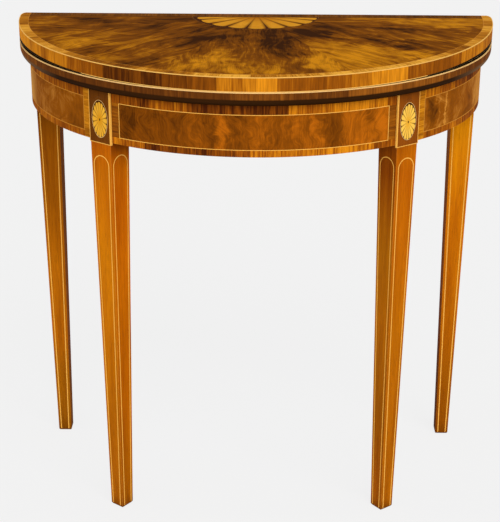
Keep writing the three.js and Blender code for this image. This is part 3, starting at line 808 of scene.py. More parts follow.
def shaded_by_height(place, colour, stops, full=0.8):
    """Multiplies a colour by a shade that changes with the height; stops are (metres, shade)."""
    share = calc("DIVIDE", parts_of(place)[2], full)
    return blend(1.0, colour, ramp(share, [(z / full, shade) for z, shade in stops]), "MULTIPLY")


def straight_wood(name, light, dark, grain_of, rough=0.34, amount=0.35, turn=(0, 0, 0),
                  coat=0.035):
    """Wood whose fibres run along Z, or along another axis after a turn; grain_of holds the
    scale, the contrast and the pores."""
    place = start_material(name)
    colour, height = fibres(mapped(place, Rotation=turn), light, dark, *grain_of)
    return polished(place, colour, height, rough, amount=amount, coat=coat)


FINE, BEECH, PINE, BLOCK = (200, 1.2, 0.1), (110, 1.6, 0.5), (60, 2.2, 0.1), (70, 2.0, 0.1)
boxwood = straight_wood("boxwood", "#FFD892", "#DEA458", FINE)
golden_boxwood = straight_wood("boxwood, golden", "#FFC454", "#EAA040", FINE)
warm_boxwood = straight_wood("boxwood, warm", "#FFCE6C", "#E4A448", FINE)
aged_boxwood = straight_wood("boxwood under old varnish", "#DE962E", "#B06A18", FINE)
beech = straight_wood("beech", "#BC8F5A", "#94683A", BEECH, 0.6, 0.5, ALONG_X, 0.0)
pine_along_x = straight_wood("pine", "#C49A62", "#96683A", PINE, 0.7, 0.4, ALONG_X, 0.0)
pine_along_y = straight_wood("pine, brace", "#C49A62", "#96683A", PINE, 0.7, 0.4, ALONG_Y, 0.0)
pine_block = straight_wood("pine, blocks", "#B88C55", "#8A5E32", BLOCK, 0.75, 0.4, coat=0.0)
print("straight-grained woods ready")

# %% [markdown]
# ## Woods of the legs
#
# A leg is solid mahogany, gone golden in the light. Its two shown faces each have their own pair
# of tones, which paint how differently the light falls on each face as well as the wood's tone.
# Each face is darker towards the floor and has painted shade of the frieze at its head; the
# tables hold that painted light and shade by height.

# %% Woods of the legs
# Painted light and shade by height for each face: darker towards the floor, with painted shade of
# the frieze at the head.
LEFT_OUTWARD = [
    (0, "#897367"), (0.006, "#AC9586"), (0.02, "#CBB3A2"), (0.067, "#D5BCAA"), (0.19, "#E4D2BE"),
    (0.333, "#F0DAC5"), (0.457, "#EEDAC5"), (0.546, "#F4D7C2"), (0.59, "#E8C9B6"),
    (0.617, "#E7C0AE"), (0.634, "#DDB3A2")]
LEFT_INNER = [
    (0, "#817C6F"), (0.006, "#A29E8E"), (0.02, "#BFBFAD"), (0.067, "#C7C8B5"), (0.19, "#DBD3BF"),
    (0.333, "#DBD1BE"), (0.457, "#F9F1DA"), (0.546, "#FEF2DB"), (0.59, "#FBF5DE"),
    (0.612, "#E7DFCA"), (0.626, "#BCB1A0"), (0.634, "#AA9B8C")]
RIGHT_OUTWARD = [
    (0, "#908B7E"), (0.006, "#B5AD9D"), (0.02, "#DAD4C0"), (0.067, "#E3DFCA"), (0.19, "#E9E5CF"),
    (0.333, "#F2F2DB"), (0.457, "#ECDEC9"), (0.546, "#F6E7D1"), (0.59, "#EFD9C5"),
    (0.617, "#F7EAD4"), (0.634, "#E7DAC5")]
RIGHT_INNER = [
    (0, "#958174"), (0.006, "#BCA696"), (0.02, "#DFC8B5"), (0.067, "#E8CFBC"), (0.19, "#EBE4CE"),
    (0.333, "#FFF5DE"), (0.457, "#FFFFE7"), (0.546, "#DCC5B3"), (0.59, "#BF9E8F"),
    (0.617, "#BEA090"), (0.634, "#B19384")]
REAR_LEFT = [
    (0, "#9E9E8E"), (0.006, "#B3B3A2"), (0.03, "#CBCBB8"), (0.12, "#D4D4C0"), (0.19, "#EADDC4"),
    (0.333, "#F4EED4"), (0.457, "#DAD3BF"), (0.546, "#D7CEBB"), (0.59, "#CBC5B3"),
    (0.634, "#ADA696")]
REAR_RIGHT = [
    (0, "#897C6F"), (0.006, "#9B8B7E"), (0.03, "#B19E8E"), (0.12, "#B8A696"), (0.19, "#C8B1A0"),
    (0.333, "#E7D4C0"), (0.457, "#F3E2CD"), (0.546, "#FFF9E2"), (0.59, "#FDFFE7"),
    (0.634, "#CBCBB8")]
OTHER_CUT = (0.2, 0.1, 0.3)
# Tones of a rear leg's inner side: painted shade under the table.
SHADED_INNER_SIDE = ("#B0600C", "#602E06")
REAR_ARRIS, REAR_LEAN = 0.3375 + 0.0008, 0.0086


def front_leg_material(hand, side, outward_tones, inner_tones, outward_shade, inner_shade):
    """A front leg. In its own frame the outward face is at y = -LEG_FACE, and what lies behind
    that face is the side towards the front."""
    place = start_material(f"golden mahogany, {hand} front leg")
    from_sweep = vector_calc("SUBTRACT", place, (0, SWEEP_Y, 0))
    own = mapped(from_sweep, Rotation=(0, 0, -side * LEG_TURN))
    behind = step_up(parts_of(own)[1], -LEG_FACE + 0.0009, 0.0006)
    on_face, height = fibres(own, *outward_tones)
    on_side, _ = fibres(vector_calc("ADD", own, OTHER_CUT), *inner_tones)
    # each face gets its own painted light and shade by height
    colour = blend(behind, shaded_by_height(place, on_face, outward_shade),
                   shaded_by_height(place, on_side, inner_shade))
    return polished(place, colour, height, 0.36, "#E8B060", 0.4)


def rear_leg_material(hand, tones, shade):
    """A rear leg. Its inner side, which leans by the taper, is painted dark as shade under the
    table.
    """
    place = start_material(f"golden mahogany, {hand} rear leg")
    x, _, z = parts_of(place)
    outside = step_up(linear(z, REAR_LEAN, calc("ABSOLUTE", x)), REAR_ARRIS, 0.0006)
    on_front, height = fibres(place, *tones)
    on_inner, _ = fibres(vector_calc("ADD", place, OTHER_CUT), *SHADED_INNER_SIDE)
    # painted light and shade by height; the inner side carries painted shade under the table
    colour = shaded_by_height(place, blend(outside, on_inner, on_front), shade)
    return polished(place, colour, height, 0.36, "#E0A050", 0.35)


def tablet_material(hand, light, dark):
    """Dark mahogany whose head, close under the top, is painted darker as shade of the leaf above.
    """
    place = start_material(f"dark mahogany, {hand} tablet")
    colour, height = fibres(place, light, dark, 70.0, 2.0, 0.4)
    # painted shade under the leaf: the head of the tablet is darker
    colour = shaded_by_height(place, colour, [(0.63, 1.0), (0.70, 0.92), (0.718, 0.7)])
    return polished(place, colour, height, 0.38, amount=0.2)


front_leg_wood = {
    "left": front_leg_material("left", -1, ("#EA980F", "#AC5C05"), ("#F28904", "#AA5001"),
                               LEFT_OUTWARD, LEFT_INNER),
    "right": front_leg_material("right", 1, ("#DA7E0A", "#964802"), ("#D48210", "#904A05"),
                                RIGHT_OUTWARD, RIGHT_INNER)}
rear_leg_wood = {
    "left": rear_leg_material("left", ("#D8800C", "#7C3404"), REAR_LEFT),
    "right": rear_leg_material("right", ("#F29A0C", "#B66004"), REAR_RIGHT)}
tablet_wood = {
    "left": tablet_material("left", "#86480E", "#4A2608"),
    "right": tablet_material("right", "#AC5A10", "#68330A")}
print("leg woods ready")

# %% [markdown]
# ## The veneered boards
#
# The upper leaf carries eight wedges of flame mahogany that radiate from the hub of the fan.
# Neighbouring wedges come from one flitch opened like a book, so each mirrors the next. A
# border of golden crossbanding follows the sweep, and a dark one the straight edge. The rim
# is crossbanded too, in blocks that go from orange gold to red brown.

# %% Board veneer
WEDGE = math.radians(22.5)
WEDGE_TONES = [0.43, 0.48, 0.47, 0.52, 0.45, 0.53, 0.43, 0.49]
FAN_HUB = 0.007
BORDER_RADIUS = 0.3795
BAND_EDGE, BAND_LINE = -0.0155, 0.0017
RIM_SKIN, FACE_SKIN = 0.0009, 0.0006
ARRIS_HEIGHT, ARRIS_DEPTH = 0.0105, 0.0088
# The faces where the leaves meet: dark mahogany crossbanding, darkened further as painted shade of
# the narrow gap between the leaves.
SHADED_MEETING_FACE = (0.4, 0.8, "#4A2A10", "#2E180A", "#1C0E06")
TOP_FIGURE = [
    (12, 0.20, 11, 0.12, -0.40), (-22, 0.158, 26, 0.045, -0.28), (28, 0.150, 22, 0.045, -0.20),
    (-30, 0.235, 6, 0.10, -0.30), (-54, 0.265, 5, 0.07, 0.02), (-58, 0.335, 8, 0.05, 0.36),
    (-48, 0.355, 6, 0.04, -0.30), (-27, 0.350, 8, 0.04, -0.28), (-12, 0.300, 9, 0.11, 0.38),
    (-40, 0.285, 7, 0.06, 0.16), (-5, 0.255, 4, 0.10, -0.10), (19, 0.305, 7, 0.11, 0.48),
    (29, 0.290, 11, 0.12, 0.28), (41, 0.300, 7, 0.11, 0.36), (45, 0.350, 6, 0.06, 0.40),
    (18, 0.215, 10, 0.06, 0.20), (52, 0.26, 4, 0.13, -0.34), (53, 0.305, 4, 0.04, -0.14),
    (57, 0.350, 7, 0.05, -0.16), (68, 0.250, 4, 0.10, -0.32), (73, 0.320, 4, 0.07, -0.22),
    (80, 0.300, 7, 0.12, 0.26), (84, 0.200, 4, 0.09, 0.22), (-79, 0.290, 13, 0.13, -0.26),
    (40, 0.160, 13, 0.06, -0.26), (41, 0.205, 6, 0.05, -0.34), (-40, 0.120, 15, 0.05, -0.18),
    (-66, 0.190, 14, 0.07, -0.10), (2, 0.345, 14, 0.05, 0.18)]
BORDER_FIGURE = [
    (34, 0.387, 26, 0.1, 0.35), (0, 0.387, 24, 0.1, 0.20), (-50, 0.387, 13, 0.1, 0.34)]
UPPER_RIM = [
    (-90, 0.90), (-64, 0.72), (-57, 0.58), (-54, 0.74), (-46, 0.52), (-42, 0.40), (-35, 0.15),
    (-25, 0.07), (-20, 0.24), (-13, 0.33), (-8, 0.66), (-2.5, 0.82), (4.7, 0.48), (10, 0.36),
    (15, 0.46), (21, 0.68), (27.5, 0.86), (35, 0.46), (40, 0.38), (45, 0.46), (53, 0.70),
    (55, 0.68), (61, 0.72), (66, 0.62), (76, 0.82)]
# The block at the left end is pale partly by its tone and partly as a painted highlight at the
# shoulder.
LOWER_RIM = [
    (-90, 0.95), (-74, 0.62), (-60, 0.44), (-42, 0.38), (-20, 0.38), (-5, 0.58), (8, 0.50),
    (20, 0.82), (33, 0.70), (46, 0.56), (58, 0.55)]


def start_leaf(name, rotation, location):
    """Starts a leaf's material. Returns the place, the place in the leaf's own frame, and there
    the angle, the radius, the height, the distance back and the length along the rim."""
    place = start_material(name)
    inside = mapped(place, Rotation=rotation, Location=location)
    angle, radius, height, back = polar(inside)
    return place, inside, angle, radius, height, back, times(angle, TOP_RADIUS)


def wedge_veneer(inside):
    """Flame veneer in wedges: the angle about the hub is folded back and forth every wedge, so
    neighbours mirror each other; X is radius * folded angle and Y is the radius. Soft patches,
    bent by noise, make the darker heart near the fan and the golden places towards the rim."""
    angle, radius, _, _ = polar(vector_calc("ADD", inside, (0, FAN_HUB, 0)))
    turns = calc("DIVIDE", angle, WEDGE)
    wedge = calc("FLOOR", turns)
    folded = times(calc("PINGPONG", turns, 1.0), WEDGE)
    pair = calc("FLOOR", times(plus(wedge, 1.0), 0.5))
    sway_x, sway_y, _ = parts_of(noise(inside, 17, 4, 0.62, 0.4, 1))
    patches = clouds(spread(sway_x, 0.5, angle), spread(sway_y, 0.16, radius), TOP_FIGURE)
    share = calc("DIVIDE", plus(wedge, 4.5), 8.0)
    own_tone = ramp(share, [(k / 8, tone) for k, tone in enumerate(WEDGE_TONES)], "CONSTANT")
    shift = plus(plus(patches, own_tone), remap(radius, 0.12, 0.30, -0.20, 0.06))
    veneer = combine(times(radius, folded), radius, times(pair, 0.37))
    return flame(veneer, 11.0, 3.9, 0.20, shift, "#D28812", "#834807", "#3A1C04")


def on_the_rim(radius, back):
    """1 on the rim and 0 on the faces. In the corners the outline is nearer to the middle by
    w (1 - sqrt(1 - t^2)), where t goes from 0 to 1 towards the back edge."""
    start = TOP_RADIUS * math.sin(CORNER_FROM)
    length = start + BACK_EDGE
    t = linear(back, 1 / length, start / length, clamp=True)
    nearer = linear(calc("SQRT", minus(1.0, times(t, t))), -CORNER_WIDTH, CORNER_WIDTH)
    return step_up(plus(radius, nearer), TOP_RADIUS - RIM_SKIN)


def painted_gap_shade(angle, height):
    """Painted shade of the narrow gap under the leaf, as a near-black band along the foot of the
    rim:
    it is highest near the shoulders and runs out towards the front."""
    rise = remap(calc("ABSOLUTE", angle), math.radians(31), math.radians(60), -0.0004, 0.0034)
    return remap(minus(rise, height), -0.0003, 0.0003)


def upper_leaf_material(*to_leaf):
    """Wedges inside a golden border, a brown band along the straight edge, a rim of blocks with
    painted shade along its foot, and dark wood, darkened further as painted shade of the gap, on
    the face that meets the other leaf."""
    place, inside, angle, radius, height, back, arc = start_leaf(
        "veneers of the folding leaf", *to_leaf)
    figure, figure_height = wedge_veneer(inside)
    tone = plus(blocks_by_chance(arc, 0.045, 4.0, 0.16, 0.74), clouds(angle, radius, BORDER_FIGURE))
    border, _ = crossband(arc, radius, tone, 0.85, "#F2B040", "#BC7518", "#6E3A0A")
    x = parts_of(inside)[0]
    tone = blocks_by_chance(x, 0.09, 9.0, 0.30, 0.70)
    band, _ = crossband(x, back, tone, 0.8, "#8E5418", "#6A3C10", "#40220A")
    tone = blocks_by_angle(angle, UPPER_RIM)
    rim, rim_height = crossband(arc, height, tone, 0.5, "#EA941A", "#96500A", "#4A2206")
    # dark wood with painted shade of the gap between the leaves
    dark, _ = crossband(arc, radius, *SHADED_MEETING_FACE)
    colour = blend(step_up(back, BAND_EDGE - BAND_LINE), figure, "#3A1E08")
    colour = blend(step_up(back, BAND_EDGE), colour, band)
    colour = blend(step_up(radius, BORDER_RADIUS), colour, border)
    colour = blend(step_up(height, FACE_SKIN), dark, colour)
    # painted shade: the foot of the rim goes near-black where the gap between the leaves is in
    # shadow
    rim = blend(painted_gap_shade(angle, height), rim, "#0E0602")
    colour = blend(on_the_rim(radius, back), colour, rim)
    return polished(place, colour, linear(rim_height, 0.3, figure_height), 0.34, "#E4B468", 0.5)


def lower_leaf_material(*to_leaf):
    """A crossbanded edge over a rounded arris whose dark colour is partly its mahogany and partly
    painted shade, turning to a paler painted lit colour near the shoulders; dark wood, darkened as
    painted shade of the gap, on the face that meets the other leaf; and plain mahogany below."""
    place, inside, angle, radius, height, back, arc = start_leaf(
        "veneers of the fixed leaf", *to_leaf)
    below, _ = fibres(mapped(inside, Rotation=ALONG_X), "#5A3414", "#38200C", 50.0, 2.0, 0.6)
    tone = blocks_by_angle(angle, LOWER_RIM)
    rim, rim_height = crossband(arc, height, tone, 0.5, "#A6601A", "#66360E", "#381A08")
    # dark wood with painted shade of the gap between the leaves
    dark, _ = crossband(arc, radius, *SHADED_MEETING_FACE)
    x = parts_of(inside)[0]
    on_back, _ = crossband(x, height, 0.45, 0.8, "#6E3E14", "#4A280C", "#2C1606")
    along = combine(radius, height, arc)
    # The rounded arris faces down: its near-black colour is partly the dark mahogany and partly
    # painted shade; near the shoulders a paler painted lit colour takes over.
    arris, _ = fibres(along, "#3C2008", "#1E1004")
    lit_arris, _ = fibres(along, "#8E6A48", "#5E3A1A")
    shoulder = remap(calc("ABSOLUTE", angle), math.radians(50), math.radians(66))
    arris = blend(shoulder, arris, lit_arris)
    edge = blend(step_up(height, ARRIS_HEIGHT, 0.0016), arris, rim)
    near_rim = times(step_up(radius, TOP_RADIUS - ARRIS_DEPTH), step_up(height, 0.0003))
    colour = blend(near_rim, below, edge)
    colour = blend(step_up(height, LEAF - FACE_SKIN), colour, dark)
    colour = blend(step_up(back, BACK_EDGE - RIM_SKIN), colour, on_back)
    return polished(place, colour, rim_height, 0.38, "#D09A50", 0.4)


turned_pin = Matrix.Rotation(-LEAF_TILT, 3, "X") @ Vector((0, PIN_Y, PIN_Z))
leaf_shift = (0, BACK_EDGE - PIN_INSET - turned_pin.y, PIN_DEPTH - turned_pin.z)
upper_veneer = upper_leaf_material((-LEAF_TILT, 0, 0), leaf_shift)
lower_veneer = lower_leaf_material((0, 0, 0), (0, -SWEEP_Y, -FRIEZE_TOP))
dressed("upper_leaf", upper_veneer, "folding_leaf", 0.0005,
        corner_planes(on_folded_leaf))
dressed("lower_leaf", lower_veneer, "table_frame", 0.0005,
        corner_planes(on_fixed_leaf))
print("leaves veneered")

# %% [markdown]
# ## The frieze
#
# The frieze has one long panel in front and one on each side, framed by crossbanding: its
# fibres stand upright above and below the panels and lie flat beside the legs. A mask for the
# panels is worked out from the angle about the sweep and the height.

# %% Frieze veneer
PANEL_LOW, PANEL_HIGH = 0.6489, 0.7021
PANEL_END = math.radians(32.1)
SIDE_START = math.radians(43.2)
MIDDLE = (PANEL_LOW + PANEL_HIGH) / 2
VENEER_SKIN = 0.0012
FRIEZE_FIGURE = [
    (-30.0, MIDDLE, 3.0, 0.09, -0.22), (-9.3, MIDDLE, 1.6, 0.08, -0.24),
    (-7.0, 0.672, 1.2, 0.05, 0.28), (-4.2, MIDDLE, 2.4, 0.08, -0.18),
    (0.8, MIDDLE, 2.8, 0.08, 0.22), (5.4, MIDDLE, 1.7, 0.10, -0.06),
    (8.6, MIDDLE, 1.8, 0.06, 0.10), (13.0, 0.684, 1.4, 0.02, 0.34),
    (14.8, 0.668, 1.2, 0.02, 0.25), (18.5, MIDDLE, 3.5, 0.06, -0.38),
    (25.5, 0.666, 3.0, 0.03, 0.16), (30.0, MIDDLE, 2.4, 0.08, 0.22),
    (27.0, 0.694, 3.0, 0.02, -0.20), (-16.0, 0.690, 3.0, 0.03, -0.14),
    (26, MIDDLE, 22, 0.2, 0.20), (-28, MIDDLE, 22, 0.2, -0.12)]
SIDE_FIGURE = [
    (-80, MIDDLE, 15, 0.12, 0.35), (-60, MIDDLE, 8, 0.09, 0.04), (-47, 0.66, 5, 0.05, -0.14),
    (46.2, 0.68, 2.4, 0.05, -0.34), (48.5, MIDDLE, 0.7, 0.07, 0.16),
    (51.3, MIDDLE, 0.7, 0.10, 0.30), (54.5, MIDDLE, 2.0, 0.08, -0.12),
    (64, 0.66, 5, 0.06, -0.10), (76, MIDDLE, 12, 0.12, 0.32)]
# Painted pale reflections where the side panels turn away near the table's outline.
PAINTED_REFLECTIONS = [(-78, MIDDLE, 12, 0.12, 0.62), (76, MIDDLE, 12, 0.12, 0.16)]
UPPER_BAND = [
    (-90, 0.54), (-62, 0.46), (-50, 0.46), (-41, 0.46), (-31, 0.38), (-24.6, 0.52), (-15, 0.15),
    (7.5, 0.70), (20, 0.76), (31, 0.50), (40, 0.72), (48.5, 0.60), (55, 0.34), (68, 0.45)]
LOWER_BAND = [
    (-90, 0.50), (-66, 0.60), (-58, 0.42), (-50, 0.52), (-36, 0.60), (-26, 0.18), (-9, 0.32),
    (-5, 0.50), (0, 0.66), (12, 0.78), (24, 0.55), (33, 0.45), (44, 0.50), (60, 0.46)]


def frieze_figure(angle, height, arc, beyond_leg):
    """Mottled mahogany in front, and quieter, warmer leaves at the sides, each with a painted pale
    reflection near its end."""
    sway_x, sway_y, _ = parts_of(noise(combine(arc, height, 0.1), 60, 4, 0.6, 0.3, 1))
    spot = spread(sway_x, 0.10, angle), spread(sway_y, 0.04, height)
    shift = plus(clouds(*spot, FRIEZE_FIGURE), 0.48)
    front, front_height = flame(combine(arc, height, 0.3), 30.0, 2.9, 0.22, shift, "#C0660C",
                                "#874606", "#4E2604")
    shift = plus(clouds(*spot, SIDE_FIGURE), 0.50)
    sides, _ = flame(combine(times(arc, 0.5), height, 1.7), 24.0, 2.0, 0.2, shift, "#E2983A",
                     "#945008", "#4E2604")
    # painted reflection: pale patches near the far ends of the side panels
    sides = blend(clouds(angle, height, PAINTED_REFLECTIONS), sides, "#DCA050")
    return blend(beyond_leg, front, sides), front_height


def frieze_material():
    """Flame panels in a frame of crossbanding; behind the outer face the core wood shows."""
    place = start_material("veneers of the frieze")
    angle, radius, height, _ = polar(vector_calc("SUBTRACT", place, (0, SWEEP_Y, 0)))
    arc, wide = times(angle, FRIEZE_RADIUS), calc("ABSOLUTE", angle)
    beyond_leg = step_up(wide, LEG_TURN, 0.001)
    figure, figure_height = frieze_figure(angle, height, arc, beyond_leg)
    tones = blend(step_up(height, MIDDLE), blocks_by_angle(angle, LOWER_BAND),
                  blocks_by_angle(angle, UPPER_BAND))
    tone = add_node("ShaderNodeSeparateColor", {0: tones}).outputs[0]
    upright, upright_height = crossband(arc, height, tone, 0.95, "#E08A14", "#9C500A", "#4A1E06")
    brown, _ = crossband(height, arc, 0.45, 0.7, "#C87A14", "#8E4E0C", "#52280A")
    golden, _ = crossband(height, arc, 0.55, 1.0, "#E89A20", "#B46C10", "#6A380A")
    within_height = between(height, PANEL_LOW, PANEL_HIGH)
    by_leg = between(wide, PANEL_END, SIDE_START, 0.0004)
    laid_flat = times(by_leg, calc("MAXIMUM", within_height, beyond_leg))
    surround = blend(laid_flat, upright, blend(beyond_leg, brown, golden))
    outer = blend(times(within_height, minus(1.0, by_leg)), surround, figure)
    core, _ = fibres(combine(radius, height, arc), "#9A6A38", "#6A4220", 60.0, 1.6, 0.4)
    colour = blend(step_up(radius, FRIEZE_RADIUS - VENEER_SKIN), core, outer)
    bump = linear(upright_height, 0.3, figure_height)
    return polished(place, colour, bump, 0.38, "#D89A50", 0.4)


frieze_veneer = frieze_material()
for node in ("apron_front", "apron_left", "apron_right"):
    dressed(node, frieze_veneer, "table_frame", 0.0005)
print("frieze veneered")

# %% [markdown]
# ## Legs and the swinging frame
#
# The legs keep the CAD solids' shape; only their arrises are eased. The gate rails are plain
# beech, rubbed smooth where hands and knuckles meet them. Hardware, blocks and hidden rails are
# shown as the CAD solids, with a finish that follows their slot.

# %% Legs, rails and hardware
for hand in ("left", "right"):
    dressed(f"front_leg_{hand}", front_leg_wood[hand], "table_frame")
    dressed(f"rear_leg_{hand}", rear_leg_wood[hand], f"gate_{hand}")
    dressed(f"tablet_{hand}", tablet_wood[hand], "table_frame", 0.0003)
    dressed(f"gate_rail_{hand}", beech, f"gate_{hand}", 0.0008)
dressed("fly_rail_centre", beech, "table_frame", 0.0008)


def metal(name, bright, dull, rough):
    """Old metal: bright along its arrises, where it is rubbed, and dull in patches."""
    place = start_material(name)
    mixed = spread(noise(place, 120, 4, 0.6), 2.2, clamp=True)
    colour, mask = wear(place, blend(mixed, dull, bright), bright, 0.8)
    roughness = linear(mask, -0.12, linear(mixed, -0.18, rough + 0.1))
    inputs = {"Base Color": colour, "Roughness": roughness, "Metallic": 1.0,
              "Specular IOR Level": 0.5}
    return finish_material(inputs, noise(place, 900, 2, 0.5), 0.00003)


wood_of_node = {"inner_back_rail": pine_along_x, "medial_brace": pine_along_y}
by_slot = {"brass": metal("aged brass", "#D9B45A", "#8C6A2A", 0.34),
           "iron": metal("dull iron", "#8A847C", "#4A4540", 0.5), "inner_wood": pine_block}
for node in body_of_node:
    shown = frame["nodes"][node]
    if not shown.hide_render and slot_of_node[node] in by_slot:
        shown.data.materials.clear()
        shown.data.materials.append(wood_of_node.get(node, by_slot[slot_of_node[node]]))
print("legs, rails and hardware dressed")

# %% [markdown]
# ## Stringing of the frieze
#
# Boxwood strings frame every panel. Each is a square strip let in flush, here standing
# 0.05 mm proud so that it never shares a surface with the veneer. On the curved frieze the
# path is worked out in angle and height, so a corner is mitred like a picture frame's.


# %% Strings of the frieze
def framed_panel(start, end, width, open_end=False):
    """A string round a panel from one angle to another, on points x = R sin a, y = middle -
    R cos a. An open one has no line at the end, which lies beside the rear leg."""
    count = max(8, int(abs(end - start) / math.radians(1.5)))
    across = np.linspace(start, end, count)
    angle = np.concatenate([across[::-1], across] if open_end else [across, across[::-1]])
    normals = np.stack([np.sin(angle), -np.cos(angle), np.zeros_like(angle)], axis=-1)
    points = normals * FRIEZE_RADIUS + np.array([0, SWEEP_Y, 0])
    points[:, 2] = np.repeat([PANEL_LOW, PANEL_HIGH], count)
    return string(points, normals, width, 0.0008, closed=not open_end)


RAIL_END = math.pi / 2 - 0.0031
front_string = framed_panel(-PANEL_END, PANEL_END, 0.0010)
side_strings = joined([framed_panel(side * SIDE_START, side * RAIL_END, 0.0011, open_end=True)
                       for side in (1, -1)])
new_piece("frieze_string_front", front_string, golden_boxwood)
new_piece("frieze_strings_side", side_strings, aged_boxwood)
print("frieze strings:", len(front_string[1]) + len(side_strings[1]), "faces")

# %% [markdown]
# ## Stringing of the leaves
#
# A light string runs in the top arris of each leaf's rim and, across the front, in the bottom
# arris of the folding leaf; a thin brown one runs inside the border. They are set out in the
# leaf's own frame and follow its rounded back corners.


# %% Strings of the leaves
def rim_path(radius, height, steps=177):
    """Round the sweep from corner to corner, and into the corners but for their last step."""
    end = math.pi / 2 - CORNER_FROM
    sweep = sweep_points(radius, np.linspace(-end, end, steps))
    right = quarter_oval(radius)[1:-1]
    flat = np.concatenate([(right * (-1, 1))[::-1], sweep, right])
    return np.column_stack([flat, np.full(len(flat), height)])


def arris_string(height, width, depth, facing, reach=math.pi):
    """A string in a leaf's arris: its section runs in from the rim and down from the face. It
    ends at the angle reach on both sides."""
    path = rim_path(TOP_RADIUS, height)
    path = path[np.abs(np.arctan2(path[:, 0], -path[:, 1])) < reach]
    left, right = (width, PROUD) if facing > 0 else (PROUD, width)
    return strip(path, (0, 0, facing), left, right, depth)


upper_strings = joined([arris_string(LEAF, 0.0012, 0.0011, 1),
                        arris_string(0.0, 0.0010, 0.0009, -1, math.radians(41))])
new_piece("rim_strings_upper", on_folded_leaf(upper_strings), warm_boxwood, "folding_leaf")
new_piece("rim_string_lower", on_fixed_leaf(arris_string(LEAF, 0.0016, 0.0015, 1)), boxwood)
half_circle = sweep_points(BORDER_RADIUS, np.linspace(-math.pi / 2, math.pi / 2, 181))
line_end = np.array([[BORDER_RADIUS, BACK_EDGE - 0.0001]])
border_line = np.concatenate([line_end * (-1, 1), half_circle, line_end])
border_line = np.column_stack([border_line, np.full(len(border_line), LEAF)])
border_string = string(border_line, (0, 0, 1), 0.0007, 0.0007)
new_piece("border_string", on_folded_leaf(border_string), aged_boxwood, "folding_leaf")
print("leaf strings ready")

# %% [markdown]
# ## Leg strings
#
# Two faces of each front leg carry a long loop that closes in a round arch under the frieze.
# The loop keeps its distance from the edges, so it narrows with the taper. The rear legs have
# two plain lines, because the frieze hides their heads.

# %% Strings of the legs
LEG_TOP, LEG_FOOT = 0.041, 0.025
TAPER_TOP, TAPER_FOOT = 0.6347, 0.0025
STRING_FOOT, LINE_WIDTH, LINE_DEPTH = 0.0032, 0.0016, 0.0007
ARRIS_INSET, EDGE_INSET = 0.0051, 0.0042
ARCH_SPRING = 0.5995
REAR_TOP, REAR_FACE_Y = 0.6372, 0.149


def leg_width(height):
    """Width of a front leg: straight from foot to top."""
    share = (height - TAPER_FOOT) / (TAPER_TOP - TAPER_FOOT)
    return LEG_FOOT + (LEG_TOP - LEG_FOOT) * share


def leg_line(across, along, height, normal):
    """A string up a leg, through points that are given as three rows or numbers."""
    path = np.stack(np.broadcast_arrays(across, along, height), axis=-1)
    return string(path, normal, LINE_WIDTH, LINE_DEPTH)


def arched_loop():
    """Two lines up a tapered face and a half circle between them: across runs from 0 at the
    straight arris, as one inset and as width(height) - the other, and the arch is c + r cos a."""
    rise = np.linspace(STRING_FOOT, ARCH_SPRING, 24)
    far = leg_width(rise) - EDGE_INSET
    middle, radius = (far[-1] + ARRIS_INSET) / 2, (far[-1] - ARRIS_INSET) / 2
    angle = np.linspace(0, math.pi, 25)[1:-1]
    arch = middle - radius * np.cos(angle)
    across = np.concatenate([np.full(24, ARRIS_INSET), arch, far[::-1]])
    return across, np.concatenate([rise, ARCH_SPRING + radius * np.sin(angle), rise[::-1]])


def leg_strings(side):
    """The loops on the outward face and on the face towards the front."""
    across, height = arched_loop()
    arris = -side * LEG_TOP / 2
    loops = [leg_line(arris + side * across, -LEG_FACE, height, (0, -1, 0)),
             leg_line(arris, -LEG_FACE + across, height, (-side, 0, 0))]
    return on_leg(joined(loops), side)


def rear_leg_strings(side):
    """Two lines on the front face, each at a fixed distance from its edge: the leg's edges at the
    top are at x = 0.371 and 0.332, and taper inwards by 10.5 and 5.5 mm."""
    height = np.linspace(STRING_FOOT, REAR_TOP, 30)
    share = 1 - (height - TAPER_FOOT) / (REAR_TOP - TAPER_FOOT)
    outer = 0.371 - 0.0105 * share - 0.0044
    inner = 0.332 + 0.0055 * share + 0.0052
    return joined([leg_line(side * across, REAR_FACE_Y, height, (0, -1, 0))
                   for across in (outer, inner)])


SIDES = (("left", -1), ("right", 1))
for hand, side in SIDES:
    new_piece(f"leg_strings_{hand}", leg_strings(side), golden_boxwood)
    new_piece(f"rear_leg_strings_{hand}", rear_leg_strings(side), golden_boxwood, f"gate_{hand}")
print("leg strings ready")

# %% [markdown]
# ## Tablets
#
# The tablets are thin panels on the heads of the front legs, with strings along three arrises,
# of which one is thick. Each holds an oval patera: petals of satinwood, scorched at their edges
# in hot sand, on a dark ground inside a thin light line.

# %% Tablet strings
TABLET_HALF, TABLET_FACE, TABLET_DEPTH = 0.022, 0.3828, 0.0030
TABLET_LOW, TABLET_HIGH = 0.635, 0.7177
THIN = 0.0011


def tablet_string(side, thick):
    """Strings on three arrises of a tablet: one along the foot and one up each side, of which the
    one towards the middle of the table is thick."""
    lines = []
    for edge, width in ((-side, thick), (side, THIN)):
        x = edge * (TABLET_HALF + PROUD - width / 2)
        lines.append((x, TABLET_LOW + THIN + 0.00001, x, TABLET_HIGH, width))
    foot_z = TABLET_LOW - PROUD + THIN / 2
    lines.append((-TABLET_HALF, foot_z, TABLET_HALF, foot_z, THIN))
    shapes = []
    for x0, z0, x1, z1, width in lines:
        path = [(x0, -TABLET_FACE, z0), (x1, -TABLET_FACE, z1)]
        shapes.append(string(path, (0, -1, 0), width, TABLET_DEPTH))
    return on_leg(joined(shapes), side)


for (hand, side), thick in zip(SIDES, (0.0026, 0.0019)):
    new_piece(f"tablet_string_{hand}", tablet_string(side, thick), golden_boxwood)
print("tablet strings ready")

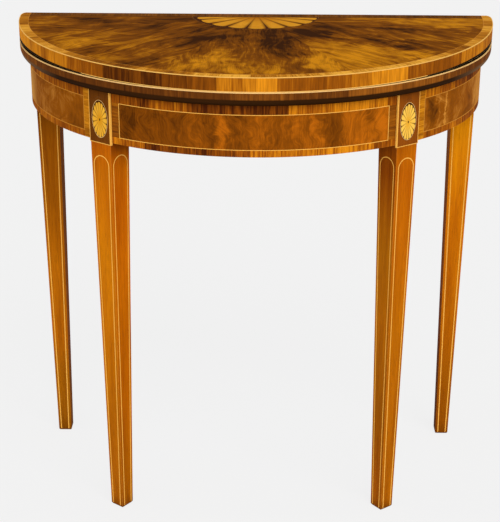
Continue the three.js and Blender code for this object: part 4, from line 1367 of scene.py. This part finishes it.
# %% [markdown]
# ## Sand-shaded satinwood
#
# The maker dipped the edge of each petal in hot sand, which scorched it brown. The UV map of a
# petal tells the material how far across and how far along it a point is.


# %% Sand-shaded satinwood and its dark ground
def shaded_petals(name, heart, light, deep, scorch="#8A4C10", start=0.55):
    """Satinwood whose edges are scorched: across each petal the UV map runs from 0 to 1, and the
    scorch grows towards both edges; along it the wood pales from the heart to the tip."""
    place = start_material(name)
    across, along, _ = parts_of(add_node("ShaderNodeUVMap", uv_map="UVMap").outputs[0])
    near_edge = remap(times(calc("ABSOLUTE", minus(across, 0.5)), 2.0), start, 1.0)
    near_rim = remap(along, 0.1, 0.9, 0.35, 1.0)
    burnt = times(times(near_edge, near_edge), near_rim)
    wood, height = fibres(place, light, deep, 160.0, 1.8, 0.12)
    share = spread(noise(place, 150, 3, 0.6), 0.5, remap(along, 0.10, 0.62), clamp=True)
    colour = blend(burnt, blend(share, heart, wood), scorch)
    return polished(place, colour, height, 0.34, amount=0.1)


petal_wood = {
    "left": shaded_petals("sand-shaded satinwood, left patera", "#DE9618", "#F8C040", "#DE961E"),
    "right": shaded_petals("sand-shaded satinwood, right patera", "#F0AE30", "#FFD660", "#EFAE38")}
ray_wood = shaded_petals("sand-shaded satinwood, fan", "#AC6202", "#E8A42C", "#C47A0C", "#5A2A06",
                         0.45)
ground_wood = straight_wood("scorched ground", "#5A2E0C", "#30170A", (120, 1.6, 0.3), 0.36, 0.1)
print("petal finishes ready")

# %% [markdown]
# ## Paterae
#
# A patera is set out as ovals about one middle: the pocket, the light line, and the petals. The
# photograph shows it as a few pixels, so the sixteen blunt petals are the usual pattern.

# %% Paterae
PATERA_Z = FRIEZE_BOTTOM + 0.0375
POCKET = (0.0165, 0.032, 0.0)
LINE = (0.0159, 0.0292, -0.0022)
PETALS = (0.0148, 0.0274, -0.0034)
CIRCLE = np.linspace(0, 2 * np.pi, 65)
INWARD = (0, 0.0008, 0)


def oval_point(share, angle, oval):
    """A point of an upright oval: x = share a sin t, z = middle + share b cos t."""
    x_axis, z_axis, middle = oval
    x, z = share * x_axis * np.sin(angle), share * z_axis * np.cos(angle)
    return np.stack([x, np.full_like(x, -TABLET_FACE), z + PATERA_Z + middle], axis=-1)


def patera_ground(side):
    """The dark oval inside the line."""
    share = np.array([[0.02], [1.0]])
    return on_leg(slab(oval_point(share, CIRCLE[None, :], LINE), INWARD), side)


def patera_surround(side):
    """The rest of the pocket, between the line and the pocket's edge."""
    grid = np.stack([oval_point(1.0, CIRCLE, LINE), oval_point(1.0, CIRCLE, POCKET)])
    return on_leg(slab(grid, INWARD), side)


def patera_petals(side, petals=16, gap=0.007):
    """Petals with blunt tips: the rim is 0.90 + 0.10 (1 - (2u - 1)^4) of the oval, where u runs
    across the petal, and a thin gap is left between neighbours."""
    u, v = np.linspace(0, 1, 7), np.linspace(0.08, 1.0, 6)[:, None]
    rim = 0.90 + 0.10 * (1 - (2 * u - 1) ** 4)
    place = np.stack(np.broadcast_arrays(u, v), axis=-1).reshape(-1, 2)
    step = 2 * np.pi / petals
    shapes = []
    for k in range(petals):
        angle = (k - 0.5) * step + gap + u * (step - 2 * gap)
        grid = oval_point(v * rim, angle, PETALS) - np.array([0, 0.00008, 0])
        shapes.append(slab(grid, (0, 0.0004, 0)))
    return on_leg(joined(shapes), side), np.tile(place, (2 * petals, 1))


def patera_line(side):
    """A thin light line round the ground."""
    path = oval_point(1.0, CIRCLE[:-1], LINE)
    return on_leg(string(path, (0, -1, 0), 0.0006, 0.0004, closed=True), side)


for hand, side in SIDES:
    new_piece(f"patera_ground_{hand}", patera_ground(side), ground_wood,
              stands_for=[f"patera_{hand}"])
    new_piece(f"patera_surround_{hand}", patera_surround(side), tablet_wood[hand])
    petals, petal_map = patera_petals(side)
    new_piece(f"patera_petals_{hand}", petals, petal_wood[hand], uv=petal_map)
    new_piece(f"patera_line_{hand}", patera_line(side), boxwood)
print("paterae ready")

# %% [markdown]
# ## The fan
#
# Nine rays of satinwood spread from a hub that lies under the dark band along the back edge,
# so the band cuts the fan straight. Each ray is scorched along both sides towards its tip.

# %% Fan
FAN_X, FAN_Y = 0.106, 0.095
CUT = 0.0085


def fan_point(share, angle, x_axis, y_axis):
    """A point of the fan in the leaf's frame: x = share a sin t, y = hub - share b cos t."""
    x, y = share * x_axis * np.sin(angle), -FAN_HUB - share * y_axis * np.cos(angle)
    return np.stack([x, y, np.full_like(x, LEAF)], axis=-1)


def fan_ground():
    """The dark plate in the pocket: rows go from the straight cut to the rim."""
    end = math.acos(CUT / FAN_Y) - 1e-4
    angle = np.linspace(-end, end, 73)
    cut = CUT / (FAN_Y * np.cos(angle))
    share = np.stack([cut, np.ones_like(cut)])
    return slab(fan_point(share, angle, FAN_X, FAN_Y), (0, 0, -0.0008))


def fan_rays(rays=9, width=20.0):
    """Rays between the cut and a rim that is bowed a little over each ray. The dark gap between
    them, in degrees, widens as 0.18 + 0.75 v^2 from the hub to the rim."""
    shapes, maps = [], []
    x_axis, y_axis, cut = FAN_X - 0.0040, FAN_Y - 0.0012, CUT + 0.004
    end = math.degrees(math.acos(cut / y_axis)) - 0.6
    u, v = np.linspace(0, 1, 9), np.linspace(0, 1, 8)[:, None]
    gap = 0.18 + 0.75 * v ** 2
    for k in range(rays):
        low = np.maximum(-end, (k - rays / 2) * width + gap)
        high = np.minimum(end, (k + 1 - rays / 2) * width - gap)
        angle = np.radians(low + u * (high - low))
        near = cut / (y_axis * np.cos(angle))
        rim = np.maximum(near + 0.01, 0.965 + 0.035 * (1 - (2 * u - 1) ** 2))
        share = near + (rim - near) * v
        grid = fan_point(share, angle, x_axis, y_axis) + np.array([0.0024, 0, 0.00008])
        shapes.append(slab(grid, (0, 0, -0.0004)))
        place = np.stack(np.broadcast_arrays(u, share), axis=-1).reshape(-1, 2)
        maps.append(np.tile(place, (2, 1)))
    return joined(shapes), np.concatenate(maps)


new_piece("fan_ground", on_folded_leaf(fan_ground()), ground_wood, "folding_leaf",
          stands_for=["fan_inlay"])
rays, ray_map = fan_rays()
new_piece("fan_rays", on_folded_leaf(rays), ray_wood, "folding_leaf", uv=ray_map)
print("fan ready")

# %% [markdown]
# ## Baize
#
# Green woollen cloth lines the two faces that meet when the table is shut. It is glued into a
# shallow recess, so it lies flat, and its nap is a fine, short noise with a little sheen.


# %% Baize
def felt():
    """Milled wool: no weave shows, only short fibres and slow drifts of tone."""
    place = start_material("green baize")
    nap = noise(place, 1400, 3, 0.7)
    tone = spread(nap, 0.9, noise(place, 9, 3, 0.6), clamp=True)
    inputs = {"Base Color": blend(tone, "#1E4A2A", "#3F7A48"), "Roughness": 0.95,
              "Sheen Weight": 0.35, "Sheen Roughness": 0.5, "Specular IOR Level": 0.1}
    return finish_material(inputs, nap, 0.0002, 0.5)


def baize_cloth(low, high, border=0.026):
    """A flat half-round cloth: every point is a share of the way from a middle point to the
    outline, which is the leaf's own outline drawn in by the border."""
    radius, back = TOP_RADIUS - border, BACK_EDGE - border
    end = math.pi / 2 + math.asin(back / radius)
    sweep = sweep_points(radius, np.linspace(-end, end, 121))
    outline = np.concatenate([sweep, np.linspace(sweep[-1], sweep[0], 41)[1:]])
    middle = np.array([0.0, -0.16])
    share = np.array([0.001, 0.35, 0.7, 1.0])[:, None, None]
    flat = middle + share * (outline - middle)
    grid = np.concatenate([flat, np.full(flat.shape[:2] + (1,), high)], axis=-1)
    x, y = outline[:, 0], outline[:, 1]
    area = abs(np.sum(x * np.roll(y, -1) - np.roll(x, -1) * y)) / 2
    return slab(grid, (0, 0, low - high)), area, (np.ptp(x), np.ptp(y))


baize = felt()
shape, area, flat_size = baize_cloth(LEAF - 0.0009, LEAF - 0.0002)
cloth = new_piece("baize_cloth_lower", on_fixed_leaf(shape), baize, "table_frame",
                  ["baize_lower"])
shape, area, flat_size = baize_cloth(0.0002, 0.0009)
cloth = new_piece("baize_cloth_upper", on_folded_leaf(shape), baize, "folding_leaf",
                  ["baize_upper"])
print(f"baize: {flat_size[0]:.3f} by {flat_size[1]:.3f} m, {area:.4f} square metres")
